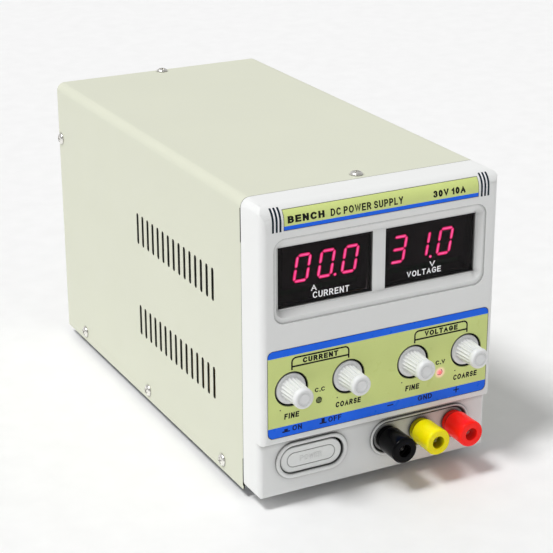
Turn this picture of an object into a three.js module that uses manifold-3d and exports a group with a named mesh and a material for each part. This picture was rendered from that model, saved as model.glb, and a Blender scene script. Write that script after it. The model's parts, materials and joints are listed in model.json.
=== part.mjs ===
// Bench power supply of the 30 V, 10 A class: a folded steel case with a moulded front.
// Millimetres. +Z is up, -Y is the front with the controls, +X is the user's right.
//
// The pieces are laid out from the case: x from its centre plane, y from the joint between
// bezel and cover (+Y to the rear) and z from the cover's lower edge. The group that holds
// them then puts the origin under the middle of the whole object, on the feet.
import * as THREE from "three";
import { mergeVertices } from "three/addons/utils/BufferGeometryUtils.js";
import Module from "manifold-3d";

const wasm = await Module();
wasm.setup();

// ---- Driving dimensions ----

const GAP = 0.3; // between pieces that touch on the real object
const QUARTER = Math.PI / 2;

const CASE = { width: 136, height: 158, length: 250.2, sheet: 1, bend: 5 };
const INSIDE = CASE.width / 2 - CASE.sheet; // half width between the cover's walls

const VENT = {
  columns: 15,
  firstY: 33.4,
  pitch: 6.9,
  width: 2.3,
  rows: [
    { low: 38, high: 56 },
    { low: 93, high: 111 },
  ],
};

// Where the cover's front edges stand back from the bezel, on both sides.
const RELIEF = {
  depth: 0.7,
  spans: [
    { low: 2, high: 18 },
    { low: 135, high: 153 },
  ],
};

const BEZEL = {
  bottom: 2,
  ledge: 33.4, // height of the step between the lower and the upper face
  front: -21, // upper face
  lowerFront: -17.4,
  corner: 5,
  edge: 3.5,
  crown: 8, // radius from the upper face to the top
  wall: 2.4,
};

// The display recess: a shallow step with a shelf, then a flared well down to the windows.
const RECESS = {
  outer: { halfWidth: 60.8, low: 97.6, high: 141.5, radius: 6 },
  shelf: -20.1,
  inner: { halfWidth: 59.2, low: 100.4, high: 140.2, radius: 4.5 },
  floor: -17,
  sill: 0.6, // the flat border left round the windows
  mullion: -17.6,
};
const WINDOW = { innerX: 3.7, outerX: 56.8, low: 104, high: 135.8, front: -16, thickness: 3 };

const OVERLAY = { halfWidth: 64.4, low: 37, high: 84, radius: 3, thickness: 0.4, proud: 0.1 };
const NAME_PLATE = { halfWidth: 55.2, low: 145.9, sweep: 0.76, thickness: 0.3, proud: 0.1 };
const LED = { x: 35.8, z: 52.7, radius: 1.5, hole: 1.8, tip: -21.7 };

const KNOB = {
  z: 62.2,
  hole: 9.2,
  skirtRadius: 8.3,
  skirtBack: -19.1,
  skirtFront: -20.7,
  baseRadius: 6,
  neckRadius: 5.2,
  rimRadius: 5.5,
  rimStep: 1,
  rimStart: -31.6,
  rimEnd: -34.1,
  tip: -34.9,
  tipRadius: 4.2,
  ribs: 12,
  ribDepth: 0.45,
};
const KNOBS = [
  { name: "current_fine", x: -51.4 },
  { name: "current_coarse", x: -19 },
  { name: "voltage_fine", x: 19 },
  { name: "voltage_coarse", x: 51.4 },
];
const SHAFT = { radius: 3, front: -31, back: -12.3, clearance: 0.3 };
const POT = { radius: 8.2, front: -12, bushingRadius: 4.4, bushingFront: -18.3 };

const BUTTON = {
  x: -38.05,
  z: 20.5,
  halfLength: 17.6,
  halfHeight: 7,
  face: -17.2,
  back: -10,
  groove: { halfLength: 14, halfHeight: 4.2, width: 0.5, depth: 0.3 },
};
const BUTTON_HOLE = { x: -37.9, z: 20.8, halfLength: 18.45, halfHeight: 7.9, ring: 2.3 };
const SWITCH = { halfWidth: 7.5, halfHeight: 7, front: -4, back: 22, stem: 3, stemBack: 2 };

const POSTS = [
  { name: "black", x: 6.4, colour: 0x141416 },
  { name: "yellow", x: 26.6, colour: 0xf6e626 },
  { name: "red", x: 46.8, colour: 0xf2281c },
];
const TERMINAL = {
  x: 26.6,
  z: 20.9,
  halfLength: 28.6,
  halfHeight: 8.7,
  ring: 1.5,
  groove: 0.9, // between the plate's face and the bezel
  plateFront: -17.2,
  plateSheet: 2,
  flange: 3,
};
const POST = {
  studRadius: 3,
  studFront: -31,
  studBack: -3,
  socketRadius: 2.1,
  socketDepth: 12,
  nutRadius: 5.2,
  nutDepth: 4,
  clearance: 0.4, // round the stud, inside the collar, the washer and the cap
  collarRadius: 6.3,
  collarFront: -19.2,
  washerRadius: 4.9,
  washerBack: -19.5,
  washerFront: -20.3,
  capBack: -20.6,
  capFront: -36.2,
  capRadius: 7.2,
  shoulder: 1.4,
};
const RING_PROUD = 1.1; // of the raised rims round the button and the terminals

const CHASSIS = { floor: 0.3, sheet: 1.2, flangeTop: 14, front: 1, rear: 247.5 };
const REAR = { outer: 249.4, sheet: 1.2, flangeFront: 238, bottom: 2, flangeBottom: 18 };
const SCREW = { headRadius: 3.4, headHeight: 1.8, shankRadius: 1.4, shankLength: 6, hole: 1.8 };
const SIDE_SCREWS = [
  { name: "front_low", y: 25, z: 6 },
  { name: "middle_low", y: 122.5, z: 6 },
  { name: "rear_low", y: 220, z: 6 },
  { name: "rear_high", y: 246.6, z: 124 },
];
const TOP_SCREWS = [
  { name: "front", y: 6.4 },
  { name: "rear", y: 246.6 },
];
const FOOT = { height: 5, topRadius: 8, bottomRadius: 7, x: 40, frontY: 28, rearY: 222 };

const TOROID = { y: 76, innerRadius: 18, outerRadius: 59, low: 2, high: 60, rounding: 9 };
const CLAMP = { radius: 30, sheet: 2, boltRadius: 4, nutRadius: 7, nutHeight: 6 };
const BOARD = { halfWidth: 62, front: 142, rear: 219, z: 10, thickness: 1.6 };
const CAPACITOR = { x: 36, y: 178, radius: 17.5, height: 58 };
const HEATSINK = { left: -60, base: 6, reach: 44, front: 146, rear: 214, top: 128, fins: 12, fin: 2 };

const FAN = {
  z: 103,
  size: 80,
  depth: 25,
  bore: 38,
  hubRadius: 17.5,
  bladeRadius: 36.6,
  blades: 7,
  holeSpacing: 71.5,
  strut: 4,
  strutDepth: 3.5,
  pin: 1.5,
};
const GUARD = { wire: 0.9, rings: [11, 19.5, 28, 36.5], rear: 254.8, eye: 3.6 };
const INLET = {
  x: -36,
  z: 31,
  halfWidth: 13.3,
  halfHeight: 15.3,
  flangeWidth: 15.5,
  flangeHeight: 17.5,
  flange: 2.5,
  depth: 22,
  socketHalfWidth: 12,
  socketLow: -13.7,
  socketHigh: 2.6,
  socketDepth: 16,
  pinSpacing: 7,
  pinWidth: 2,
  pinHeight: 4,
  pinLength: 12,
};
const DRAWER = { halfWidth: 9.6, low: 5.9, high: 13.2, depth: 17, lip: 1.2 };

// ---- Materials ----

function finish(colour, roughness, metalness = 0) {
  return new THREE.MeshStandardMaterial({ color: colour, roughness, metalness });
}
const PAINT = () => finish(0xdcdfc8, 0.45);
const MOULDING = () => finish(0xe6e6e2, 0.4);
const ZINC = () => finish(0xb9bcbe, 0.4, 0.8);
const NICKEL = () => finish(0xc9c9c4, 0.25, 1);
const ALUMINIUM = () => finish(0xa9acae, 0.5, 0.9);
const BLACK_PLASTIC = () => finish(0x17181a, 0.5);
const RUBBER = () => finish(0x1c1c1d, 0.9);
const CIRCUIT = () => finish(0x1f6a3a, 0.55);

// ---- Solids ----

// A closed geometry as a solid; a profile may run either way round.
function solid(geometry) {
  geometry.deleteAttribute("normal");
  geometry.deleteAttribute("uv");
  const merged = mergeVertices(geometry);
  const triVerts = new Uint32Array(merged.index.array);
  const vertProperties = merged.attributes.position.array;
  const made = new wasm.Manifold(new wasm.Mesh({ numProp: 3, vertProperties, triVerts }));
  if (made.volume() > 0) return made;
  const turned = Uint32Array.from(triVerts).reverse();
  return new wasm.Manifold(new wasm.Mesh({ numProp: 3, vertProperties, triVerts: turned }));
}

function join(...pieces) {
  return pieces.flat().reduce((whole, piece) => whole.add(piece));
}

function cut(body, ...cutters) {
  return cutters.flat().reduce((whole, cutter) => whole.subtract(cutter), body);
}

function box(x0, x1, y0, y1, z0, z1) {
  const block = new THREE.BoxGeometry(x1 - x0, y1 - y0, z1 - z0);
  return solid(block.translate((x0 + x1) / 2, (y0 + y1) / 2, (z0 + z1) / 2));
}

function extrude(shape, depth, curveSegments) {
  return new THREE.ExtrudeGeometry(shape, { depth, bevelEnabled: false, curveSegments });
}

// A shape drawn in x and z, extruded along y.
function alongY(shape, y0, y1, curveSegments = 2) {
  return solid(extrude(shape, y1 - y0, curveSegments).rotateX(QUARTER).translate(0, y1, 0));
}

// A shape drawn in y and z, extruded along x.
function alongX(shape, x0, x1, curveSegments = 2) {
  const swap = new THREE.Matrix4().set(0, 0, 1, 0, 1, 0, 0, 0, 0, 1, 0, 0, 0, 0, 0, 1);
  return solid(extrude(shape, x1 - x0, curveSegments).applyMatrix4(swap).translate(x0, 0, 0));
}

// A shape drawn in x and y, extruded along z.
function alongZ(shape, z0, z1, curveSegments = 2) {
  return solid(extrude(shape, z1 - z0, curveSegments).translate(0, 0, z0));
}

// A round bar along y whose two ends may differ in radius.
function rodY(x, z, y0, y1, frontRadius, rearRadius = frontRadius, sides = 16) {
  const bar = new THREE.CylinderGeometry(rearRadius, frontRadius, y1 - y0, sides);
  return solid(bar.translate(x, (y0 + y1) / 2, z));
}

function rodZ(x, y, z0, z1, radius, topRadius = radius, sides = 20) {
  const bar = new THREE.CylinderGeometry(topRadius, radius, z1 - z0, sides);
  return solid(bar.rotateX(QUARTER).translate(x, y, (z0 + z1) / 2));
}

function rodX(x0, x1, y, z, radius, sides = 16) {
  const bar = new THREE.CylinderGeometry(radius, radius, x1 - x0, sides);
  return solid(bar.rotateZ(QUARTER).translate((x0 + x1) / 2, y, z));
}

// A round bar between two points.
function wire(from, to, radius, sides = 4) {
  const run = new THREE.Vector3().subVectors(to, from);
  const bar = new THREE.CylinderGeometry(radius, radius, run.length(), sides);
  const up = new THREE.Vector3(0, 1, 0);
  bar.applyQuaternion(new THREE.Quaternion().setFromUnitVectors(up, run.clone().normalize()));
  const middle = new THREE.Vector3().addVectors(from, to).multiplyScalar(0.5);
  return solid(bar.translate(middle.x, middle.y, middle.z));
}

// A turned piece on an axis along y: [radius, y] pairs from axis to axis.
function turned(profile, x, z, sides = 20) {
  const points = profile.map(([radius, y]) => new THREE.Vector2(radius, y));
  return solid(new THREE.LatheGeometry(points, sides).translate(x, 0, z));
}

// ---- Outlines ----

function roundedRect(left, right, low, high, bottomRadius, topRadius = bottomRadius) {
  const shape = new THREE.Shape();
  shape.absarc(right - bottomRadius, low + bottomRadius, bottomRadius, -QUARTER, 0);
  shape.absarc(right - topRadius, high - topRadius, topRadius, 0, QUARTER);
  shape.absarc(left + topRadius, high - topRadius, topRadius, QUARTER, Math.PI);
  shape.absarc(left + bottomRadius, low + bottomRadius, bottomRadius, Math.PI, 3 * QUARTER);
  shape.closePath();
  return shape;
}

function stadium(x, z, halfLength, halfHeight) {
  const inner = halfLength - halfHeight;
  const shape = new THREE.Shape();
  shape.absarc(x + inner, z, halfHeight, -QUARTER, QUARTER);
  shape.absarc(x - inner, z, halfHeight, QUARTER, 3 * QUARTER);
  shape.closePath();
  return shape;
}

function uprightSlot(y, low, high, halfWidth) {
  const shape = new THREE.Shape();
  shape.absarc(y, high - halfWidth, halfWidth, 0, Math.PI);
  shape.absarc(y, low + halfWidth, halfWidth, Math.PI, 2 * Math.PI);
  shape.closePath();
  return shape;
}

function polygon(points) {
  return new THREE.Shape(points.map(([a, b]) => new THREE.Vector2(a, b)));
}

// ---- The object ----

const supply = new THREE.Group();

function place(name, piece, material) {
  const { vertProperties, triVerts } = piece.getMesh();
  let geometry = new THREE.BufferGeometry();
  geometry.setAttribute("position", new THREE.BufferAttribute(vertProperties, 3));
  geometry.setIndex(new THREE.BufferAttribute(triVerts, 1));
  geometry = geometry.toNonIndexed();
  geometry.computeVertexNormals();
  const mesh = new THREE.Mesh(geometry, material);
  mesh.name = name;
  supply.add(mesh);
}

// Sheet steel folded over the top and both sides.
function cover() {
  const half = CASE.width / 2;
  const bendX = half - CASE.bend;
  const bendZ = CASE.height - CASE.bend;
  const innerBend = CASE.bend - CASE.sheet;
  const section = new THREE.Shape();
  section.moveTo(half, 0);
  section.lineTo(half, bendZ);
  section.absarc(bendX, bendZ, CASE.bend, 0, QUARTER);
  section.absarc(-bendX, bendZ, CASE.bend, QUARTER, Math.PI);
  section.lineTo(-half, 0);
  section.lineTo(-INSIDE, 0);
  section.absarc(-bendX, bendZ, innerBend, Math.PI, QUARTER, true);
  section.absarc(bendX, bendZ, innerBend, QUARTER, 0, true);
  section.lineTo(INSIDE, 0);
  section.closePath();
  const sheet = alongY(section, GAP, CASE.length);

  const slots = [];
  for (const row of VENT.rows) {
    for (let column = 0; column < VENT.columns; column += 1) {
      const y = VENT.firstY + column * VENT.pitch;
      slots.push(alongX(uprightSlot(y, row.low, row.high, VENT.width / 2), -half - 1, half + 1, 1));
    }
  }
  const sideHoles = SIDE_SCREWS.map(({ y, z }) => rodX(-half - 1, half + 1, y, z, SCREW.hole, 8));
  const topHoles = TOP_SCREWS.map(({ y }) =>
    rodZ(0, y, CASE.height - 2, CASE.height + 1, SCREW.hole, SCREW.hole, 8),
  );
  const reliefs = [];
  for (const { low, high } of RELIEF.spans) {
    for (const side of [-half, half]) {
      reliefs.push(box(side - 2, side + 2, -1, GAP + RELIEF.depth, low, high));
    }
  }
  place("cover", cut(sheet, slots, sideHoles, topHoles, reliefs), PAINT());
}

// Steel floor with a low flange up each side that the cover screws into.
function chassis() {
  const half = INSIDE - GAP;
  const { floor, sheet, flangeTop } = CHASSIS;
  const outline = polygon([
    [-half, floor],
    [half, floor],
    [half, flangeTop],
    [half - sheet, flangeTop],
    [half - sheet, floor + sheet],
    [-half + sheet, floor + sheet],
    [-half + sheet, flangeTop],
    [-half, flangeTop],
  ]);
  const tray = alongY(outline, CHASSIS.front, CHASSIS.rear);
  const low = SIDE_SCREWS.slice(0, 3);
  const holes = low.map(({ y, z }) => rodX(-half - 1, half + 1, y, z, SCREW.hole, 8));
  place("chassis", cut(tray, holes), ZINC());
}

// Steel rear panel with a folded flange along the top and both sides.
function rearPanel() {
  const half = INSIDE - GAP;
  const top = CASE.height - CASE.sheet - GAP;
  const inner = REAR.outer - REAR.sheet;
  const corner = CASE.bend - CASE.sheet;
  const outline = roundedRect(-half, half, REAR.bottom, top, 1, corner);
  const hollow = roundedRect(
    -half + REAR.sheet,
    half - REAR.sheet,
    REAR.bottom - 9,
    top - REAR.sheet,
    1,
    corner - REAR.sheet,
  );
  const tray = cut(
    alongY(outline, REAR.flangeFront, REAR.outer),
    alongY(hollow, REAR.flangeFront - 1, inner),
    box(-half - 1, half + 1, REAR.flangeFront - 1, inner, REAR.bottom - 1, REAR.flangeBottom),
  );
  const high = SIDE_SCREWS[3];
  const topScrew = TOP_SCREWS[1];
  const inletX = INLET.halfWidth + 2 * GAP;
  const inletZ = INLET.halfHeight + 2 * GAP;
  place(
    "rear_panel",
    cut(
      tray,
      rodY(0, FAN.z, inner - 1, REAR.outer + 1, FAN.bore, FAN.bore, 28),
      box(
        INLET.x - inletX,
        INLET.x + inletX,
        inner - 1,
        REAR.outer + 1,
        INLET.z - inletZ,
        INLET.z + inletZ,
      ),
      rodX(-half - 1, half + 1, high.y, high.z, SCREW.hole, 8),
      rodZ(0, topScrew.y, top - 2, top + 1, SCREW.hole, SCREW.hole, 8),
    ),
    PAINT(),
  );
}

// The outer form of the bezel: an upper part that stands forward over a lower part.
function bezelForm() {
  const half = CASE.width / 2;
  const { bottom, ledge, front, lowerFront, corner, edge, crown } = BEZEL;
  const top = CASE.height;
  const faceOn = alongY(roundedRect(-half, half, bottom, top, 3, corner), front, 0, 3);
  const plan = (foremost, low, high) => {
    const shape = new THREE.Shape();
    shape.moveTo(half, 0);
    shape.lineTo(-half, 0);
    shape.absarc(-half + edge, foremost + edge, edge, Math.PI, 3 * QUARTER);
    shape.absarc(half - edge, foremost + edge, edge, -QUARTER, 0);
    shape.closePath();
    return alongZ(shape, low, high);
  };
  const side = new THREE.Shape();
  side.moveTo(0, bottom);
  side.lineTo(front + 2, bottom);
  side.lineTo(front, bottom + 2);
  side.absarc(front + crown, top - crown, crown, Math.PI, QUARTER, true);
  side.lineTo(0, top);
  side.closePath();
  const upper = plan(front, ledge, top + 1);
  const lower = plan(lowerFront, bottom - 1, ledge + 1);
  return join(upper, lower).intersect(faceOn).intersect(alongX(side, -half - 1, half + 1, 4));
}

// The band on the bezel's crown that the name plate lies in, between two depths.
function plateBand(halfWidth, low, sweep, innerDepth, outerDepth) {
  const centreY = BEZEL.front + BEZEL.crown;
  const centreZ = CASE.height - BEZEL.crown;
  const outer = BEZEL.crown + outerDepth;
  const inner = BEZEL.crown + innerDepth;
  const band = new THREE.Shape();
  band.moveTo(centreY - outer, low);
  band.lineTo(centreY - outer, centreZ);
  band.absarc(centreY, centreZ, outer, Math.PI, Math.PI - sweep, true);
  band.absarc(centreY, centreZ, inner, Math.PI - sweep, Math.PI);
  band.lineTo(centreY - inner, low);
  band.closePath();
  return alongX(band, -halfWidth, halfWidth, 3);
}

// The cut from the bezel's face down to the windows.
function displayRecess() {
  const { outer, inner, shelf, floor, sill } = RECESS;
  const outline = ({ halfWidth, low, high, radius }) =>
    roundedRect(-halfWidth, halfWidth, low, high, radius);
  const step = alongY(outline(outer), BEZEL.front - 1, shelf);
  const flare = extrude(outline(inner), floor - shelf, 2).rotateX(QUARTER).translate(0, floor, 0);
  const position = flare.attributes.position;
  const middleZ = (WINDOW.low + WINDOW.high) / 2;
  const squeezeX = (WINDOW.outerX + sill) / inner.halfWidth;
  const squeezeUp = (WINDOW.high - middleZ + sill) / (inner.high - middleZ);
  const squeezeDown = (middleZ - WINDOW.low + sill) / (middleZ - inner.low);
  for (let i = 0; i < position.count; i += 1) {
    if (position.getY(i) < floor - 1) continue;
    const rise = position.getZ(i) - middleZ;
    position.setX(i, position.getX(i) * squeezeX);
    position.setZ(i, middleZ + rise * (rise > 0 ? squeezeUp : squeezeDown));
  }
  return join(step, solid(flare));
}

function raisedRing({ x, z, halfLength, halfHeight, ring }) {
  const outer = stadium(x, z, halfLength + ring, halfHeight + ring);
  return alongY(outer, BEZEL.lowerFront - RING_PROUD, BEZEL.lowerFront + 1, 4);
}

function frontBezel() {
  const { ledge, front, lowerFront, wall, crown, bottom } = BEZEL;
  const half = CASE.width / 2;
  const back = 1;
  const cavity = alongX(
    polygon([
      [back, bottom + wall],
      [back, CASE.height - wall],
      [front + crown, CASE.height - wall],
      [front + wall, CASE.height - crown],
      [front + wall, ledge + wall],
      [lowerFront + wall, ledge + wall],
      [lowerFront + wall, bottom + wall],
    ]),
    -half + wall,
    half - wall,
  );
  const well = WINDOW.front + WINDOW.thickness;
  const thickPart = box(
    -RECESS.outer.halfWidth - wall,
    RECESS.outer.halfWidth + wall,
    front + 1,
    well,
    RECESS.outer.low - wall,
    RECESS.outer.high + wall,
  );
  const shell = cut(bezelForm(), cut(cavity, thickPart));
  const body = join(shell, raisedRing(BUTTON_HOLE), raisedRing(TERMINAL));

  const { innerX, outerX, low, high } = WINDOW;
  const windows = [
    box(-outerX, -innerX, front - 1, back, low, high),
    box(innerX, outerX, front - 1, back, low, high),
  ];
  const mullion = box(-innerX, innerX, RECESS.mullion, well, low - 1, high + 1);
  const stadiumHole = ({ x, z, halfLength, halfHeight }) =>
    alongY(stadium(x, z, halfLength, halfHeight), lowerFront - 3, 0, 4);
  const label = roundedRect(
    -OVERLAY.halfWidth - GAP,
    OVERLAY.halfWidth + GAP,
    OVERLAY.low - GAP,
    OVERLAY.high + GAP,
    OVERLAY.radius,
  );
  const labelFloor = front - OVERLAY.proud + OVERLAY.thickness + GAP;
  const plateDepth = NAME_PLATE.proud - NAME_PLATE.thickness - GAP;
  const holes = [
    ...KNOBS.map(({ x }) => rodY(x, KNOB.z, front - 2, front + 5, KNOB.hole, KNOB.hole, 24)),
    ...[-LED.x, LED.x].map((x) => rodY(x, LED.z, front - 2, front + 5, LED.hole, LED.hole, 10)),
    stadiumHole(BUTTON_HOLE),
    stadiumHole(TERMINAL),
    alongY(label, front - 2, labelFloor),
    plateBand(
      NAME_PLATE.halfWidth + GAP,
      NAME_PLATE.low - GAP,
      NAME_PLATE.sweep + GAP / crown,
      plateDepth,
      2,
    ),
  ];
  const recessed = join(cut(body, displayRecess()), mullion);
  place("front_bezel", cut(recessed, windows, holes), MOULDING());
}

// Thin printed sheet under the knobs.
function controlOverlay() {
  const { halfWidth, low, high, radius, thickness, proud } = OVERLAY;
  const front = BEZEL.front - proud;
  const sheet = alongY(roundedRect(-halfWidth, halfWidth, low, high, radius), front, front + thickness);
  const through = [front - 1, front + 2];
  const knobHoles = KNOBS.map(({ x }) => rodY(x, KNOB.z, ...through, KNOB.hole, KNOB.hole, 24));
  const ledHoles = [-LED.x, LED.x].map((x) => rodY(x, LED.z, ...through, LED.hole, LED.hole, 10));
  place("control_overlay", cut(sheet, knobHoles, ledHoles), finish(0xc9d58c, 0.4));
}

function namePlate() {
  const { halfWidth, low, sweep, thickness, proud } = NAME_PLATE;
  place("name_plate", plateBand(halfWidth, low, sweep, proud - thickness, proud), finish(0xcad893, 0.4));
}

// A smoked window and the three-digit module behind it, on one side of the centre.
function meter(name, side) {
  const { innerX, outerX, low, high, thickness } = WINDOW;
  const span = [side * (innerX + GAP), side * (outerX - GAP)].sort((a, b) => a - b);
  const { front } = WINDOW;
  const pane = box(span[0], span[1], front, front + thickness, low + GAP, high - GAP);
  place(`${name}_window`, pane, finish(0x0b0b0e, 0.08));

  const faceY = front + thickness + GAP;
  const boardY = faceY + 7.5;
  const board = box(span[0] + 1, span[1] - 1, boardY, boardY + 1.6, low + 1, high - 1);
  const digits = box(span[0] + 4, span[1] - 4, faceY, boardY + 0.5, low + 8, high - 2);
  place(`${name}_display`, join(board, digits), finish(0x202024, 0.5));
}

function led(name, x, colour) {
  const { z, radius, tip } = LED;
  const dome = [
    [0, tip],
    [radius * 0.6, tip + 0.3],
    [radius, tip + 1.2],
    [radius, -17.9],
    [radius + 0.9, -17.9],
    [radius + 0.9, -16.9],
    [radius, -16.9],
    [radius, -13],
    [0, -13],
  ];
  place(name, turned(dome, x, z, 14), finish(colour, 0.2));
}

// The board behind the overlay, with four potentiometers soldered to it.
function controlBoard() {
  const face = -3;
  const bore = SHAFT.radius + SHAFT.clearance;
  const pots = KNOBS.map(({ x }) =>
    cut(
      join(
        rodY(x, KNOB.z, POT.front, face + 0.5, POT.radius),
        rodY(x, KNOB.z, POT.bushingFront, POT.front + 1, POT.bushingRadius),
      ),
      rodY(x, KNOB.z, POT.bushingFront - 1, face - 2, bore),
    ),
  );
  place("control_board", join(box(-62, 62, face, face + 1.6, 41, 83), pots), CIRCUIT());
}

// A ribbed, tapering knob with a flat skirt and a blind bore for its shaft.
function knob(name, x) {
  const { skirtRadius, skirtBack, skirtFront, tip, tipRadius } = KNOB;
  const { rimStart, rimEnd, rimRadius, rimStep } = KNOB;
  const outline = [];
  for (let i = 0; i < KNOB.ribs * 2; i += 1) {
    const angle = (i * Math.PI) / KNOB.ribs;
    const radius = KNOB.baseRadius - (i % 2 ? KNOB.ribDepth : 0);
    outline.push([radius * Math.cos(angle), radius * Math.sin(angle)]);
  }
  const grip = extrude(polygon(outline), skirtFront - rimStart, 1).rotateX(QUARTER);
  grip.translate(0, skirtFront, 0);
  const position = grip.attributes.position;
  for (let i = 0; i < position.count; i += 1) {
    const along = (skirtFront - position.getY(i)) / (skirtFront - rimStart);
    const taper = 1 + along * (KNOB.neckRadius / KNOB.baseRadius - 1);
    position.setX(i, position.getX(i) * taper + x);
    position.setZ(i, position.getZ(i) * taper + KNOB.z);
  }
  const turnedParts = turned(
    [
      [0, tip + 0.5],
      [tipRadius - 1.2, tip + 0.5],
      [tipRadius - 0.9, tip],
      [tipRadius, tip],
      [rimRadius, rimEnd],
      [rimRadius, rimStart],
      [rimRadius - rimStep, rimStart + 0.5],
      [rimRadius - rimStep, skirtFront],
      [skirtRadius - 0.3, skirtFront],
      [skirtRadius, skirtFront + 0.3],
      [skirtRadius, skirtBack],
      [0, skirtBack],
    ],
    x,
    KNOB.z,
  );
  const boreRadius = SHAFT.radius + SHAFT.clearance;
  const bore = rodY(x, KNOB.z, SHAFT.front - GAP, skirtBack + 1, boreRadius);
  place(`${name}_knob`, cut(join(solid(grip), turnedParts), bore), finish(0xe9e9e7, 0.45));

  const flat = box(x - 4, x + 4, SHAFT.front - 1, SHAFT.front + 9, KNOB.z + 1.6, KNOB.z + 4);
  const shaft = cut(rodY(x, KNOB.z, SHAFT.front, SHAFT.back, SHAFT.radius), flat);
  place(`${name}_shaft`, shaft, ALUMINIUM());
}

// The push button and the latching switch that its stem works.
function powerSwitch() {
  const { x, z, halfLength, halfHeight, face, back, groove } = BUTTON;
  const pad = alongY(stadium(x, z, halfLength, halfHeight), face, back, 4);
  const inside = [groove.halfLength - groove.width, groove.halfHeight - groove.width];
  const engraving = cut(
    alongY(stadium(x, z, groove.halfLength, groove.halfHeight), face - 1, face + groove.depth, 4),
    alongY(stadium(x, z, ...inside), face - 2, face + 1, 4),
  );
  const stem = rodY(x, z, back - 1, SWITCH.stemBack, SWITCH.stem);
  place("power_button", join(cut(pad, engraving), stem), finish(0xe2e3df, 0.4));

  const body = box(
    x - SWITCH.halfWidth,
    x + SWITCH.halfWidth,
    SWITCH.front,
    SWITCH.back,
    z - SWITCH.halfHeight,
    z + SWITCH.halfHeight,
  );
  const guide = SWITCH.stem + 0.4;
  const hole = rodY(x, z, SWITCH.front - 1, SWITCH.stemBack + 1.5, guide);
  place("power_switch", cut(body, hole), BLACK_PLASTIC());
}

// The plate that carries the three binding posts.
const PLATE_BACK = BEZEL.lowerFront + BEZEL.wall + GAP + TERMINAL.plateSheet;

function terminalPlate() {
  const { x, z, halfLength, halfHeight, groove, plateFront, plateSheet, flange } = TERMINAL;
  const face = stadium(x, z, halfLength - groove, halfHeight - groove);
  const rim = stadium(x, z, halfLength + flange, halfHeight + flange);
  const plate = join(
    alongY(face, plateFront, PLATE_BACK - 1, 4),
    alongY(rim, PLATE_BACK - plateSheet, PLATE_BACK, 4),
  );
  const bore = POST.studRadius + GAP;
  const holes = POSTS.map((post) => rodY(post.x, z, plateFront - 1, PLATE_BACK + 1, bore));
  place("terminal_plate", cut(plate, holes), MOULDING());
}

// A binding post: fixed collar and stud, a washer, and the cap that screws along the stud.
function bindingPost({ name, x, colour }) {
  const { z, plateFront } = TERMINAL;
  const { studRadius, studFront, studBack, socketRadius, socketDepth } = POST;
  const through = rodY(x, z, POST.capFront - 1, 0, studRadius + POST.clearance);

  const collarBack = plateFront - GAP;
  const { collarRadius, collarFront } = POST;
  const collar = turned(
    [
      [0, collarFront],
      [collarRadius - 0.6, collarFront],
      [collarRadius, collarBack - 0.9],
      [collarRadius, collarBack],
      [0, collarBack],
    ],
    x,
    z,
  );
  place(`${name}_post_collar`, cut(collar, through), finish(colour, 0.3));

  const nutFront = PLATE_BACK + GAP;
  const stud = join(
    rodY(x, z, studFront, studBack, studRadius),
    rodY(x, z, nutFront, nutFront + POST.nutDepth, POST.nutRadius, POST.nutRadius, 6),
  );
  const socket = rodY(x, z, studFront - 1, studFront + socketDepth, socketRadius);
  place(`${name}_post_stud`, cut(stud, socket), NICKEL());

  const washer = rodY(x, z, POST.washerFront, POST.washerBack, POST.washerRadius);
  place(`${name}_post_washer`, cut(washer, through), NICKEL());

  const { capFront, capBack, capRadius, shoulder } = POST;
  const cap = turned(
    [
      [0, capFront],
      [capRadius - 0.8, capFront],
      [capRadius, capFront + 0.8],
      [capRadius, capBack - shoulder],
      [capRadius - shoulder * 0.3, capBack - shoulder * 0.3],
      [capRadius - shoulder, capBack],
      [0, capBack],
    ],
    x,
    z,
  );
  place(`${name}_post_cap`, cut(cap, through), finish(colour, 0.3));
}

// A pan-head screw: head and shank along an axis that points out of the case.
function coverScrew(name, at, outward) {
  const { headRadius, headHeight, shankRadius, shankLength } = SCREW;
  const profile = [
    [0, -shankLength],
    [shankRadius, -shankLength],
    [shankRadius, GAP],
    [headRadius, GAP],
    [headRadius, headHeight * 0.5],
    [headRadius * 0.6, headHeight],
    [0, headHeight],
  ];
  const points = profile.map(([radius, y]) => new THREE.Vector2(radius, y));
  const geometry = new THREE.LatheGeometry(points, 8);
  const up = new THREE.Vector3(0, 1, 0);
  geometry.applyQuaternion(new THREE.Quaternion().setFromUnitVectors(up, outward));
  place(name, solid(geometry.translate(at.x, at.y, at.z)), NICKEL());
}

function coverScrews() {
  for (const [label, side] of [["left", -1], ["right", 1]]) {
    for (const { name, y, z } of SIDE_SCREWS) {
      const at = new THREE.Vector3((side * CASE.width) / 2, y, z);
      coverScrew(`${label}_${name}_screw`, at, new THREE.Vector3(side, 0, 0));
    }
  }
  for (const { name, y } of TOP_SCREWS) {
    coverScrew(`top_${name}_screw`, new THREE.Vector3(0, y, CASE.height), new THREE.Vector3(0, 0, 1));
  }
}

function feet() {
  for (const [end, y] of [["front", FOOT.frontY], ["rear", FOOT.rearY]]) {
    for (const [label, side] of [["left", -1], ["right", 1]]) {
      const foot = rodZ(side * FOOT.x, y, -FOOT.height, 0, FOOT.bottomRadius, FOOT.topRadius);
      place(`${end}_${label}_foot`, foot, RUBBER());
    }
  }
}

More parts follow.
